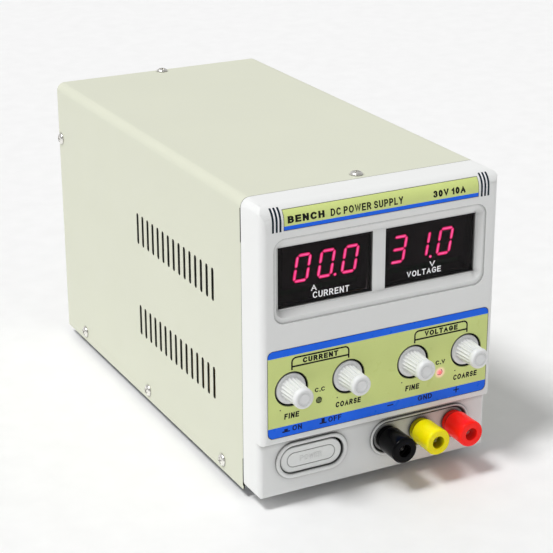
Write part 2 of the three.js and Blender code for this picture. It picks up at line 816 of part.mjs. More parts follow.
// Ring-core transformer with its dished clamp washer and bolt.
function transformer() {
  const { y, innerRadius, outerRadius, low, high, rounding } = TOROID;
  const ring = roundedRect(innerRadius, outerRadius, low, high, rounding);
  const outline = ring.getPoints(1);
  outline.push(outline[0].clone());
  const coil = new THREE.LatheGeometry(outline, 28).rotateX(QUARTER).translate(0, y, 0);
  place("transformer", solid(coil), finish(0xb98a2e, 0.5));

  const { radius, sheet, boltRadius, nutRadius, nutHeight } = CLAMP;
  const top = high + GAP;
  const nutTop = top + sheet + nutHeight;
  const boltBase = CHASSIS.floor + CHASSIS.sheet + GAP;
  place(
    "transformer_clamp",
    join(
      rodZ(0, y, top, top + sheet, radius, radius - 2),
      rodZ(0, y, boltBase, nutTop + 3, boltRadius, boltRadius, 16),
      rodZ(0, y, top + sheet - 0.2, nutTop, nutRadius, nutRadius, 6),
    ),
    ZINC(),
  );
}

function mainBoard() {
  const { halfWidth, front, rear, z, thickness } = BOARD;
  const standoffBase = CHASSIS.floor + CHASSIS.sheet + GAP;
  const standoffs = [];
  for (const x of [-halfWidth + 5, halfWidth - 5]) {
    for (const y of [front + 5, rear - 5]) {
      standoffs.push(rodZ(x, y, standoffBase, z + 0.5, 3, 3, 12));
    }
  }
  const relays = [box(2, 16, 150, 166, z, z + 16), box(2, 16, 190, 206, z, z + 14)];
  const board = box(-halfWidth, halfWidth, front, rear, z, z + thickness);
  place("main_board", join(board, standoffs, relays), CIRCUIT());

  const base = z + thickness + GAP;
  const can = rodZ(CAPACITOR.x, CAPACITOR.y, base, base + CAPACITOR.height, CAPACITOR.radius);
  place("filter_capacitor", can, finish(0x1b2a52, 0.35));

  const { left, reach, fins, fin, top } = HEATSINK;
  const web = box(left, left + HEATSINK.base, HEATSINK.front, HEATSINK.rear, base, top);
  const blades = [];
  for (let i = 0; i < fins; i += 1) {
    const low = base + 12 + (i * (top - base - 12 - fin)) / (fins - 1);
    blades.push(box(left + 1, left + reach, HEATSINK.front, HEATSINK.rear, low, low + fin));
  }
  place("heatsink", join(web, blades), ALUMINIUM());
}

function fan() {
  const { z, size, depth, bore, hubRadius, bladeRadius, blades, strut, strutDepth, pin } = FAN;
  const rear = REAR.outer - REAR.sheet - GAP;
  const front = rear - depth;
  const half = size / 2;
  const shell = cut(
    alongY(roundedRect(-half, half, z - half, z + half, 5), front, rear),
    rodY(0, z, front - 1, rear + 1, bore, bore, 28),
  );
  const arms = [0, 1].map((turn) => {
    const bar = new THREE.BoxGeometry(bore * 2 + 1, strutDepth, strut);
    bar.rotateY(turn * QUARTER + QUARTER / 2).translate(0, front + strutDepth / 2, z);
    return solid(bar);
  });
  const corners = [];
  for (const sideX of [-1, 1]) {
    for (const sideZ of [-1, 1]) {
      const offset = FAN.holeSpacing / 2;
      corners.push(rodY(sideX * offset, z + sideZ * offset, front - 1, rear + 1, 2.15, 2.15, 8));
    }
  }
  const stator = rodY(0, z, front, front + strutDepth, hubRadius - 1);
  const bearing = rodY(0, z, front + 0.8, front + 9, pin + 0.1);
  place("fan_frame", cut(join(shell, arms, stator), corners, bearing), BLACK_PLASTIC());

  const rotorFront = front + strutDepth + GAP;
  const vanes = [];
  for (let i = 0; i < blades; i += 1) {
    const vane = new THREE.BoxGeometry(bladeRadius - hubRadius + 1.5, 15, 1.6);
    vane.rotateX(0.75).translate((bladeRadius + hubRadius) / 2 - 1.4, 0, 0);
    vane.rotateY((i * 2 * Math.PI) / blades).translate(0, (rotorFront + rear) / 2, z);
    vanes.push(solid(vane));
  }
  const hub = rodY(0, z, rotorFront, rear - 1, hubRadius);
  const spindle = rodY(0, z, front + 1.1, rotorFront + 1, pin);
  place("fan_rotor", join(hub, vanes, spindle), BLACK_PLASTIC());
}

// Wire finger guard over the fan: rings, two bars and four legs down to the panel.
function fanGuard() {
  const ringY = GUARD.rear - GUARD.wire;
  const barY = ringY - 1.5;
  const legY = REAR.outer + GAP + GUARD.wire;
  const hoops = GUARD.rings.map((radius) => {
    const hoop = new THREE.TorusGeometry(radius, GUARD.wire, 4, 20);
    return solid(hoop.rotateX(QUARTER).translate(0, ringY, FAN.z));
  });
  const wires = [];
  const reach = (FAN.holeSpacing / 2) * Math.SQRT2;
  const bend = GUARD.rings[3] + 1;
  for (let i = 0; i < 4; i += 1) {
    const angle = QUARTER / 2 + i * QUARTER;
    const at = (radius, y) =>
      new THREE.Vector3(radius * Math.cos(angle), y, FAN.z + radius * Math.sin(angle));
    wires.push(wire(at(0, barY), at(bend, barY), GUARD.wire));
    wires.push(wire(at(bend - 0.3, barY), at(reach - GUARD.eye + 0.4, legY), GUARD.wire));
    const eye = at(reach, legY);
    const [eyeFront, eyeRear] = [eye.y - GUARD.wire, eye.y + GUARD.wire];
    const outer = GUARD.eye + GUARD.wire;
    const inner = GUARD.eye - 1.2;
    const disc = rodY(eye.x, eye.z, eyeFront, eyeRear, outer, outer, 8);
    wires.push(cut(disc, rodY(eye.x, eye.z, eyeFront - 1, eyeRear + 1, inner, inner, 8)));
  }
  place("fan_guard", join(hoops, wires), NICKEL());
}

// Three-pin mains inlet with a fuse drawer above the socket.
function mainsInlet() {
  const { x, z, halfWidth, halfHeight, flangeWidth, flangeHeight, flange, depth } = INLET;
  const face = REAR.outer + GAP + flange;
  const flangeShape = roundedRect(
    x - flangeWidth,
    x + flangeWidth,
    z - flangeHeight,
    z + flangeHeight,
    2.5,
  );
  const housing = join(
    alongY(flangeShape, REAR.outer + GAP, face),
    box(x - halfWidth, x + halfWidth, face - depth, face - 1, z - halfHeight, z + halfHeight),
  );
  const { socketHalfWidth: reach, socketLow, socketHigh, socketDepth } = INLET;
  const chamfer = 4.5;
  const mouth = polygon([
    [x - reach, z + socketLow],
    [x + reach, z + socketLow],
    [x + reach, z + socketHigh - chamfer],
    [x + reach - chamfer, z + socketHigh],
    [x - reach + chamfer, z + socketHigh],
    [x - reach, z + socketHigh - chamfer],
  ]);
  const pocket = box(
    x - DRAWER.halfWidth - GAP,
    x + DRAWER.halfWidth + GAP,
    face - DRAWER.depth - 1,
    face + 1,
    z + DRAWER.low - GAP,
    z + DRAWER.high + GAP,
  );
  const socket = alongY(mouth, face - socketDepth, face + 1);
  const middle = z + (socketLow + socketHigh) / 2;
  const pins = [-1, 0, 1].map((place3) => {
    const pinX = x + place3 * INLET.pinSpacing;
    const pinZ = middle + (place3 === 0 ? 2.5 : -1.5);
    const [halfPin, halfTall] = [INLET.pinWidth / 2, INLET.pinHeight / 2];
    const root = face - socketDepth - 1;
    const end = root + 1 + INLET.pinLength;
    return box(pinX - halfPin, pinX + halfPin, root, end, pinZ - halfTall, pinZ + halfTall);
  });
  place("mains_inlet", join(cut(housing, socket, pocket), pins), BLACK_PLASTIC());

  const inner = box(
    x - DRAWER.halfWidth,
    x + DRAWER.halfWidth,
    face - DRAWER.depth,
    face + DRAWER.lip,
    z + DRAWER.low,
    z + DRAWER.high,
  );
  const bedFront = face - DRAWER.depth - 1;
  const fuseBed = box(x - 7, x + 7, bedFront, face - 4, z + DRAWER.low + 3, z + DRAWER.high + 1);
  place("fuse_drawer", cut(inner, fuseBed), BLACK_PLASTIC());
}

cover();
chassis();
rearPanel();
frontBezel();
controlOverlay();
namePlate();
meter("ammeter", -1);
meter("voltmeter", 1);
led("cc_led", -LED.x, 0x59653c);
led("cv_led", LED.x, 0xff5a50);
controlBoard();
for (const { name, x } of KNOBS) knob(name, x);
powerSwitch();
terminalPlate();
for (const post of POSTS) bindingPost(post);
transformer();
mainBoard();
fan();
fanGuard();
mainsInlet();
feet();
coverScrews();

// The origin: under the middle of the overall length, at the bottom of the feet.
const middleY = (POST.capFront + GUARD.rear) / 2;
supply.position.set(0, -middleY, FOOT.height);

export default supply;
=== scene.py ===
import json
import math

import bmesh
import bpy
from mathutils import Matrix, Vector
from mathutils.geometry import tessellate_polygon


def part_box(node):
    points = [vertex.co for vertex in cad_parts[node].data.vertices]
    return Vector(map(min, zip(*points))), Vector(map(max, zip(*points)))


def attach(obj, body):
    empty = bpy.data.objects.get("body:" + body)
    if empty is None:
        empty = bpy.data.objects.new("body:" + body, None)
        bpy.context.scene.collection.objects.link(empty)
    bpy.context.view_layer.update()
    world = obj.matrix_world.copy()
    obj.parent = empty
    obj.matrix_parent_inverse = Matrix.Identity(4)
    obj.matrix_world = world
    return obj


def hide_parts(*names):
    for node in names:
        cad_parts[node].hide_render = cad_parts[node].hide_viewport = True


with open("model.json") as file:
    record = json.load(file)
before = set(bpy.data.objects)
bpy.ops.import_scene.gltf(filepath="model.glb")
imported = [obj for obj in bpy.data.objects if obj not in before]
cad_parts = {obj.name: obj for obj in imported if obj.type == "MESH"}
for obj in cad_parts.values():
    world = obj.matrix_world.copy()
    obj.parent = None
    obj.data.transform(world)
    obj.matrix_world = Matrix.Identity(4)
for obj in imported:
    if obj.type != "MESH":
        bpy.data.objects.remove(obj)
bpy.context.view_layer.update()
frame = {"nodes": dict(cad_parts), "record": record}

# Lengths below are millimetres in the case's own layout: x from its middle, y from the joint
# between bezel and cover (+y to the rear), z from the cover's lower edge.
MM = 0.001
CASE_LENGTH = 250.2
cover_low, cover_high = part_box("cover")
ORIGIN = Vector((0, cover_high.y - CASE_LENGTH * MM, cover_low.z))
BODY_OF = {node: body for body, nodes in frame["record"]["behaviour"]["bodies"].items() for node in nodes}
QUARTER = math.pi / 2
GAP = 0.3  # left round pieces that meet on the real object


def layout_box(node):
    low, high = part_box(node)
    return (low - ORIGIN) / MM, (high - ORIGIN) / MM


def centre_of(node):
    low, high = layout_box(node)
    return (low + high) / 2


# ---- Outlines: anticlockwise lists of two coordinates ----

def arc(cx, cy, radius, start, end, steps):
    turn = (end - start) / steps
    return [
        (cx + radius * math.cos(start + turn * i), cy + radius * math.sin(start + turn * i))
        for i in range(steps + 1)
    ]


def rounded_rect(left, right, low, high, radius, top_radius=None, steps=8):
    top = radius if top_radius is None else top_radius
    return (
        arc(right - radius, low + radius, radius, -QUARTER, 0, steps)
        + arc(right - top, high - top, top, 0, QUARTER, steps)
        + arc(left + top, high - top, top, QUARTER, math.pi, steps)
        + arc(left + radius, low + radius, radius, math.pi, 3 * QUARTER, steps)
    )


def stadium(cx, cy, half_length, half_height, steps=20):
    reach = half_length - half_height
    right = arc(cx + reach, cy, half_height, -QUARTER, QUARTER, steps)
    return right + arc(cx - reach, cy, half_height, QUARTER, 3 * QUARTER, steps)


def upright_slot(cx, low, high, half_width):
    top = arc(cx, high - half_width, half_width, 0, math.pi, 6)
    return top + arc(cx, low + half_width, half_width, math.pi, 2 * math.pi, 6)


def circle(cx, cy, radius, steps=40):
    return arc(cx, cy, radius, 0, 2 * math.pi, steps)[:-1]


def inset(points, distance):
    """The outline moved inwards, with mitred corners."""
    moved = []
    for i, (x, y) in enumerate(points):
        before = Vector((x, y)) - Vector(points[i - 1])
        after = Vector(points[(i + 1) % len(points)]) - Vector((x, y))
        before.normalize()
        after.normalize()
        mitre = Vector((-before.y - after.y, before.x + after.x))
        mitre *= 2 * distance / max(mitre.length_squared, 0.2)
        moved.append((x + mitre.x, y + mitre.y))
    return moved


def fillet(profile, radius, steps=4):
    """An open profile with its inner corners rounded."""
    made = [profile[0]]
    for i in range(1, len(profile) - 1):
        corner, before, after = Vector(profile[i]), Vector(profile[i - 1]), Vector(profile[i + 1])
        first, second = (before - corner), (after - corner)
        reach = min(radius, first.length * 0.45, second.length * 0.45)
        start, end = corner + first.normalized() * reach, corner + second.normalized() * reach
        for k in range(steps + 1):
            t = k / steps
            point = start * (1 - t) ** 2 + corner * 2 * t * (1 - t) + end * t * t
            made.append((point.x, point.y))
    made.append(profile[-1])
    return made


# ---- Solids: lists of corners and faces, in layout millimetres ----

AXES = {
    "x": lambda u, v, w: (w, u, v),
    "y": lambda u, v, w: (u, w, v),
    "z": lambda u, v, w: (u, v, w),
}


class Solid:
    """Corners, faces and each face's material number."""

    def __init__(self, verts=(), faces=(), slot=0):
        self.verts, self.faces = list(verts), list(faces)
        self.slots = [slot] * len(self.faces)

    def add(self, *others):
        for other in others:
            base = len(self.verts)
            self.verts += other.verts
            self.faces += [[base + i for i in face] for face in other.faces]
            self.slots += other.slots
        return self

    def moved(self, change):
        self.verts = [tuple(change(*v)) for v in self.verts]
        return self


def slab(outer, holes, w0, w1, round0=0.0, round1=0.0, axis="y", steps=3, slot=0):
    """A flat piece between two depths along an axis, its edges rounded at either depth."""
    rim = []
    for k in range(steps + 1 if round0 else 1):
        turn = QUARTER * k / steps if round0 else 0
        rim.append((round0 * (1 - math.sin(turn)), w0 + round0 * (1 - math.cos(turn))))
    for k in range(steps + 1 if round1 else 1):
        turn = QUARTER * (1 - k / steps) if round1 else 0
        rim.append((round1 * (1 - math.sin(turn)), w1 - round1 * (1 - math.cos(turn))))
    contours = [(outer, 1)] + [(hole, -1) for hole in holes]
    verts, faces, starts = [], [], []
    for points, side in contours:
        starts.append(len(verts))
        for distance, w in rim:
            ring = inset(points, distance * side) if distance else points
            verts += [(u, v, w) for u, v in ring]
        count = len(points)
        for k in range(len(rim) - 1):
            for i in range(count):
                a, b = starts[-1] + k * count + i, starts[-1] + k * count + (i + 1) % count
                faces.append([a, b, b + count, a + count])
    for k in (0, len(rim) - 1):
        loops, index = [], []
        for (points, _), start in zip(contours, starts):
            first = start + k * len(points)
            index += range(first, first + len(points))
            loops.append([Vector((verts[i][0], verts[i][1], 0)) for i in range(first, first + len(points))])
        faces += [[index[i] for i in triangle] for triangle in tessellate_polygon(loops)]
    place = AXES[axis]
    return Solid([place(*v) for v in verts], faces, slot)


def block(x0, x1, y0, y1, z0, z1, rounding=0.0, slot=0):
    corner = max(rounding, 0.02)
    outline = rounded_rect(x0, x1, z0, z1, corner, steps=3)
    return slab(outline, [], y0, y1, rounding, rounding, slot=slot)


def loft(rings, closed=False):
    """Rings of equally many corners joined one to the next, with flat ends."""
    count = len(rings[0])
    verts = [point for ring in rings for point in ring]
    faces = []
    for k in range(len(rings) - (0 if closed else 1)):
        for i in range(count):
            j, n = (i + 1) % count, (k + 1) % len(rings)
            faces.append([k * count + i, k * count + j, n * count + j, n * count + i])
    if not closed:
        faces += [list(range(count)), list(range(len(verts) - count, len(verts)))]
    return Solid(verts, faces)


def revolve(profile, cu, cv, axis="y", steps=40, slot=0, closed=False):
    """A turned piece: [radius, depth] pairs from axis to axis, or a closed ring of them."""
    verts, faces, rows = [], [], []
    place = AXES[axis]
    for radius, w in profile:
        if radius < 1e-6:
            rows.append([len(verts)] * steps)
            verts.append(place(cu, cv, w))
            continue
        rows.append(list(range(len(verts), len(verts) + steps)))
        for i in range(steps):
            turn = 2 * math.pi * i / steps
            verts.append(place(cu + radius * math.cos(turn), cv + radius * math.sin(turn), w))
    for k in range(len(rows) - (0 if closed else 1)):
        low, high = rows[k], rows[(k + 1) % len(rows)]
        for i in range(steps):
            j = (i + 1) % steps
            face = [low[i], low[j], high[j], high[i]]
            face = [v for n, v in enumerate(face) if v not in face[:n]]
            if len(face) > 2:
                faces.append(face)
    return Solid(verts, faces, slot)


def rod(radius, w0, w1):
    """The profile of a plain round bar."""
    return [(0.0, w0), (radius, w0), (radius, w1), (0.0, w1)]


def hoop(inner, outer, w0, w1):
    """The closed profile of a plain ring."""
    return [(inner, w0), (outer, w0), (outer, w1), (inner, w1)]


def tube(path, radius, sides=10, closed=False):
    """A round wire along a path of points."""
    points = [Vector(p) for p in path]
    rings, normal = [], None
    for i, point in enumerate(points):
        before = points[i - 1] if closed or i else point
        after = points[(i + 1) % len(points)] if closed or i < len(points) - 1 else point
        along = (after - before).normalized()
        if normal is None:
            side = Vector((0, 0, 1)) if abs(along.z) < 0.9 else Vector((1, 0, 0))
            normal = along.cross(side).normalized()
        normal = (normal - along * normal.dot(along)).normalized()
        other = along.cross(normal)
        rings.append([
            tuple(point + radius * (normal * math.cos(t) + other * math.sin(t)))
            for t in (2 * math.pi * k / sides for k in range(sides))
        ])
    return loft(rings, closed=closed)


# ---- Meshes ----

def mesh_of(solid, name="work"):
    """A Blender mesh of the solid, still in millimetres."""
    mesh = bpy.data.meshes.new(name)
    mesh.from_pydata(solid.verts, [], solid.faces)
    mesh.polygons.foreach_set("material_index", solid.slots)
    made = bmesh.new()
    made.from_mesh(mesh)
    bmesh.ops.remove_doubles(made, verts=made.verts, dist=1e-5)
    bmesh.ops.recalc_face_normals(made, faces=made.faces)
    made.to_mesh(mesh)
    made.free()
    return mesh


def boolean(base, *cutters, operation="DIFFERENCE"):
    """The base mesh with each cutter taken away, joined or kept in common."""
    scene = bpy.context.scene
    work = bpy.data.objects.new("work", base)
    scene.collection.objects.link(work)
    for cutter in cutters:
        shape = cutter if isinstance(cutter, bpy.types.Mesh) else mesh_of(cutter)
        tool = bpy.data.objects.new("tool", shape)
        scene.collection.objects.link(tool)
        modifier = work.modifiers.new("cut", "BOOLEAN")
        modifier.operation = operation
        modifier.solver = "EXACT"
        modifier.object = tool
        result = bpy.data.meshes.new_from_object(work.evaluated_get(bpy.context.evaluated_depsgraph_get()))
        work.modifiers.clear()
        work.data = result
        bpy.data.objects.remove(tool)
    made = work.data
    bpy.data.objects.remove(work)
    return made


def piece(name, shape, materials, node=None, body=None, smooth=32, weighted=True):
    """Places a shape as a piece of the object, standing for a CAD node or riding beside one."""
    mesh = shape if isinstance(shape, bpy.types.Mesh) else mesh_of(shape, name)
    mesh.name = name
    mesh.transform(Matrix.Translation(ORIGIN) @ Matrix.Scale(MM, 4))
    for material in materials if isinstance(materials, (list, tuple)) else [materials]:
        mesh.materials.append(material)
    mesh.shade_smooth()
    mesh.set_sharp_from_angle(angle=math.radians(smooth))
    made = bpy.data.objects.new(name, mesh)
    bpy.context.scene.collection.objects.link(made)
    if weighted:
        modifier = made.modifiers.new("normals", "WEIGHTED_NORMAL")
        modifier.keep_sharp = True
        modifier.weight = 50
    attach(made, body or BODY_OF[node])
    if node:
        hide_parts(node)
    return made


# ---- Materials ----

class Graph:
    """A material's node tree with a few shortcuts."""

    def __init__(self, name):
        self.material = bpy.data.materials.new(name)
        self.material.use_nodes = True
        self.tree = self.material.node_tree
        self.shader = self.tree.nodes["Principled BSDF"]
        self.coordinates = self.add("ShaderNodeTexCoord").outputs["Object"]

    def add(self, kind, inputs=None, **settings):
        node = self.tree.nodes.new(kind)
        for key, value in settings.items():
            setattr(node, key, value)
        for key, value in (inputs or {}).items():
            if isinstance(value, bpy.types.NodeSocket):
                self.tree.links.new(value, node.inputs[key])
            else:
                node.inputs[key].default_value = value
        return node

    def noise(self, scale, detail=3.0, stretch=(1, 1, 1), roughness=0.55):
        place = self.coordinates
        if stretch != (1, 1, 1):
            place = self.add("ShaderNodeMapping", {"Vector": place, "Scale": stretch}).outputs[0]
        node = self.add(
            "ShaderNodeTexNoise",
            {"Vector": place, "Scale": scale, "Detail": detail, "Roughness": roughness},
        )
        return node.outputs["Fac"]

    def vector(self, operation, *values):
        return self.add("ShaderNodeVectorMath", dict(enumerate(values)), operation=operation)

    def math(self, operation, a, b=0.0, clamp=False):
        node = self.add("ShaderNodeMath", {0: a, 1: b}, operation=operation, use_clamp=clamp)
        return node.outputs[0]

    def span(self, value, low, high, to_low=0.0, to_high=1.0, smooth=False):
        kind = "SMOOTHSTEP" if smooth else "LINEAR"
        return self.add(
            "ShaderNodeMapRange",
            {"Value": value, "From Min": low, "From Max": high, "To Min": to_low, "To Max": to_high},
            interpolation_type=kind,
        ).outputs["Result"]

    def mix(self, factor, a, b):
        node = self.add("ShaderNodeMix", data_type="RGBA")
        for socket, value in ((node.inputs[0], factor), (node.inputs[6], a), (node.inputs[7], b)):
            if isinstance(value, bpy.types.NodeSocket):
                self.tree.links.new(value, socket)
            elif isinstance(value, (tuple, list)):
                socket.default_value = (*value, 1)
            else:
                socket.default_value = value
        return node.outputs[2]

    def scaled(self, colour, factor):
        node = self.add("ShaderNodeVectorMath", operation="SCALE")
        if isinstance(colour, bpy.types.NodeSocket):
            self.tree.links.new(colour, node.inputs[0])
        else:
            node.inputs[0].default_value = colour
        self.tree.links.new(factor, node.inputs["Scale"])
        return node.outputs[0]

    def bump(self, height, depth, normal=None, invert=False):
        inputs = {"Height": height, "Distance": depth, "Strength": 1.0}
        if normal is not None:
            inputs["Normal"] = normal
        return self.add("ShaderNodeBump", inputs, invert=invert).outputs["Normal"]

    def distance_from(self, node):
        """How far each point is, across the front, from the middle of a node."""
        middle = tuple(centre_of(node) * MM + ORIGIN)
        away = self.vector("SUBTRACT", self.coordinates, middle)
        flat = self.vector("MULTIPLY", away.outputs[0], (1, 0, 1))
        return self.vector("LENGTH", flat.outputs[0]).outputs["Value"]

    def set(self, **inputs):
        for key, value in inputs.items():
            socket = self.shader.inputs[key.replace("_", " ")]
            if isinstance(value, bpy.types.NodeSocket):
                self.tree.links.new(value, socket)
            elif socket.type == "RGBA":
                socket.default_value = (*value, 1)
            else:
                socket.default_value = value
        return self


def srgb(red, green, blue):
    """A linear colour from 0 to 255 display values."""
    return tuple(
        c / 12.92 if c <= 0.04045 else ((c + 0.055) / 1.055) ** 2.4
        for c in (red / 255, green / 255, blue / 255)
    )


def surface(name, colour, roughness, tone=0.03, patch=25.0, grain=2500.0, grain_depth=4e-6,
            swell=0.0, swell_scale=450.0, rough_spread=0.06, edge=0.0, edge_gain=0.0,
            painted_shade_reach=0.0, painted_shade_loss=0.0, stretch=(1, 1, 1), metallic=0.0, **extra):
    """A slightly uneven surface: broad tone, patchy gloss, fine grain, worn edges, painted shade in creases.
    """
    g = Graph(name)
    broad = g.noise(patch, 4.0, stretch)
    fine = g.noise(grain, 2.0, stretch)
    shade = g.math("ADD", g.span(broad, 0.3, 0.7, 1 - tone, 1 + tone), g.span(fine, 0.3, 0.7, -tone, tone))
    normal = None
    if edge:
        normal = g.add("ShaderNodeBevel", {"Radius": edge}, samples=4).outputs[0]
        flat = g.add("ShaderNodeNewGeometry").outputs["Normal"]
        bend = g.vector("DOT_PRODUCT", normal, flat).outputs["Value"]
        worn = g.span(bend, 0.995, 0.85, 0.0, 1.0)
        worn = g.math("MULTIPLY", worn, g.span(g.noise(patch * 12, 3.0), 0.35, 0.6, 0.2, 1.0))
        shade = g.math("ADD", shade, g.math("MULTIPLY", worn, edge_gain))
    if painted_shade_reach:
        # Painted shade: ambient occlusion darkens the colour in creases, gaps, holes and under ledges.
        open_sky = g.add("ShaderNodeAmbientOcclusion", {"Distance": painted_shade_reach}, samples=6).outputs["AO"]
        shade = g.math("MULTIPLY", shade, g.span(open_sky, 0.48, 0.94, 1 - painted_shade_loss, 1.0))
    dull, bright = roughness + rough_spread, roughness - rough_spread
    patchy = g.span(g.noise(patch * 4, 3.0, stretch), 0.3, 0.7, bright, dull)
    speckle = g.span(fine, 0.3, 0.7, -rough_spread / 2, rough_spread / 2)
    gloss = g.math("ADD", patchy, speckle, clamp=True)
    if swell:
        normal = g.bump(g.noise(swell_scale, 2.0, stretch), swell, normal)
    normal = g.bump(fine, grain_depth, normal)
    g.set(Base_Color=g.scaled(colour, shade), Roughness=gloss, Metallic=metallic, Normal=normal, **extra)
    return g.material


MILKY = {"Subsurface_Radius": (0.002, 0.002, 0.002), "Subsurface_Scale": 1.0}
# Where these materials set a reach and a loss for shade, their colour darkens in creases, gaps and under
# ledges: painted shade.
PAINT = surface(
    "case_paint", srgb(218, 220, 201), 0.5, tone=0.012, patch=14, grain=1500, grain_depth=5e-6,
    swell=1.6e-5, swell_scale=620, edge=0.0006, edge_gain=0.02, painted_shade_reach=0.0015, painted_shade_loss=0.5,
)
# Dark olive-black for the sheet's inner face and the walls of its vents and reliefs: painted shade, so the
# vents and the gap at the bezel read dark.
PAINTED_SHADE_INSIDE = surface(
    "painted_shade_inside", srgb(44, 46, 38), 0.6, tone=0.08, patch=40, grain=1300, grain_depth=6e-6,
)
MOULDING = surface(
    "bezel_moulding", srgb(238, 239, 238), 0.38, tone=0.008, patch=22, grain=3200, grain_depth=5e-6,
    edge=0.0005, edge_gain=0.04, painted_shade_reach=0.004, painted_shade_loss=0.88, Subsurface_Weight=0.04, **MILKY,
)
KNOB_PLASTIC = surface(
    "knob_moulding", srgb(236, 237, 237), 0.34, tone=0.012, patch=60, grain=3500, grain_depth=4e-6,
    edge=0.0003, edge_gain=0.03, painted_shade_reach=0.0012, painted_shade_loss=0.4, Subsurface_Weight=0.06, **MILKY,
)
BUTTON_PLASTIC = surface(
    "button_moulding", srgb(246, 248, 246), 0.4, tone=0.012, patch=60, grain=3000, grain_depth=5e-6,
    edge=0.0003, edge_gain=0.04, painted_shade_reach=0.0018, painted_shade_loss=0.55,
)
BLACK_PLASTIC = surface(
    "black_moulding", srgb(24, 25, 27), 0.5, tone=0.05, patch=50, grain=2400, grain_depth=9e-6,
    edge=0.0004, edge_gain=0.5, Specular_IOR_Level=0.3,
)
NICKEL = surface(
    "nickel_plate", srgb(238, 236, 231), 0.26, tone=0.04, patch=200, grain=3000, grain_depth=2e-6,
    rough_spread=0.1, metallic=1.0,
)
ZINC = surface(
    "zinc_plate", srgb(176, 180, 184), 0.38, tone=0.06, patch=60, grain=900, grain_depth=3e-6,
    rough_spread=0.12, metallic=1.0, edge=0.0004, edge_gain=0.1,
)
ALUMINIUM = surface(
    "turned_aluminium", srgb(182, 184, 186), 0.36, tone=0.05, patch=80, grain=1800, grain_depth=3e-6,
    rough_spread=0.1, metallic=1.0, stretch=(1, 12, 1),
)
RUBBER = surface(
    "foot_rubber", srgb(38, 38, 39), 0.82, tone=0.08, patch=90, grain=2600, grain_depth=1.4e-5,
)
CAPACITOR_SLEEVE = surface(
    "capacitor_sleeve", srgb(30, 44, 92), 0.3, tone=0.04, patch=70, grain=1200, grain_depth=4e-6,
)


def post_plastic(name, colour, shine, depth, **extra):
    # Painted shade darkens each post's colour inside its hole and where it meets the plate.
    return surface(
        f"post_{name}", colour, 0.16, patch=120, grain=1500, grain_depth=3e-6,
        edge=0.0003, edge_gain=0.12, painted_shade_reach=0.006, painted_shade_loss=0.6, Specular_IOR_Level=shine,
        Subsurface_Weight=0.35, Subsurface_Radius=depth, Subsurface_Scale=1.0, **extra,
    )


POST_PLASTIC = {
    "black": post_plastic("black", srgb(6, 6, 8), 0.09, (0.0004, 0.0004, 0.0004)),
    "yellow": post_plastic("yellow", srgb(255, 236, 8), 0.25, (0.004, 0.0016, 0.0003)),
    "red": post_plastic(
        "red", srgb(255, 26, 18), 0.22, (0.003, 0.0004, 0.0003),
        # The red post glows faintly though it holds no lamp: a painted glow that brightens its red.
        Emission_Color=(1.0, 0.03, 0.02), Emission_Strength=0.13,
    ),
}


def circuit_material():
    """Green solder mask with tracks and pads under it."""
    g = Graph("circuit_board")
    tracks = g.add(
        "ShaderNodeTexBrick",
        {"Vector": g.coordinates, "Scale": 160.0, "Mortar Size": 0.06, "Bias": 0.0},
    ).outputs["Fac"]
    colour = g.mix(tracks, srgb(24, 92, 48), srgb(44, 128, 70))
    fine = g.noise(1500, 2.0)
    g.set(
        Base_Color=g.scaled(colour, g.span(fine, 0.3, 0.7, 0.9, 1.1)),
        Roughness=g.span(g.noise(300), 0.3, 0.7, 0.25, 0.5),
        Normal=g.bump(tracks, 3e-5),
    )
    return g.material


def winding_material():
    """Amber tape wound over a ring core, in overlapping turns round its axis."""
    g = Graph("winding_tape")
    centre = tuple(centre_of("transformer") * MM + ORIGIN)
    moved = g.vector("SUBTRACT", g.coordinates, centre)
    parts = g.add("ShaderNodeSeparateXYZ", {"Vector": moved.outputs[0]})
    angle = g.math("ARCTAN2", parts.outputs["Y"], parts.outputs["X"])
    laps = 64
    turns = g.math("MULTIPLY", angle, laps / (2 * math.pi))
    lap = g.math("FRACT", turns)
    shade = g.math("ADD", g.span(lap, 0.0, 1.0, 0.8, 1.08), g.span(g.noise(180), 0.3, 0.7, -0.08, 0.08))
    g.set(
        Base_Color=g.scaled(srgb(196, 142, 52), shade),
        Roughness=g.span(g.noise(500), 0.3, 0.7, 0.22, 0.42),
        Normal=g.bump(lap, 2.2e-4),
    )
    return g.material


LAMP_RED, LAMP_PALE, LAMP_PAINTED_GLOW = (1.0, 0.14, 0.14), (1.0, 0.5, 0.46), (1.0, 0.3, 0.62)


def film_material(name, bands, lamp=None):
    """A printed film: green, with blue bands between heights in millimetres, and a painted glow round a
    lamp.
    """
    g = Graph(name)
    height = g.add("ShaderNodeSeparateXYZ", {"Vector": g.coordinates}).outputs["Z"]
    blue = None
    for low, high in bands:
        start, end = ORIGIN.z + low * MM, ORIGIN.z + high * MM
        inside = g.math("MULTIPLY", g.math("GREATER_THAN", height, start), g.math("LESS_THAN", height, end))
        blue = inside if blue is None else g.math("MAXIMUM", blue, inside)
    colour = g.mix(blue, srgb(220, 233, 147), srgb(8, 106, 250))
    fine = g.noise(2200, 2.0)
    shade = g.math("ADD", g.span(g.noise(30), 0.3, 0.7, 0.975, 1.025), g.span(fine, 0.3, 0.7, -0.02, 0.02))
    g.set(
        Base_Color=g.scaled(colour, shade),
        Roughness=g.span(g.noise(160), 0.3, 0.7, 0.26, 0.38),
        Normal=g.bump(fine, 4e-6),
        Specular_IOR_Level=0.25,
    )
    if lamp:
        # Painted glow: the film glows pink round the lamp, standing in for the lamp's light spread over it.
        painted_glow = g.span(g.distance_from(lamp), 0.0014, 0.0038, 0.5, 0.0, smooth=True)
        g.set(Emission_Color=LAMP_PAINTED_GLOW, Emission_Strength=painted_glow)
    return g.material


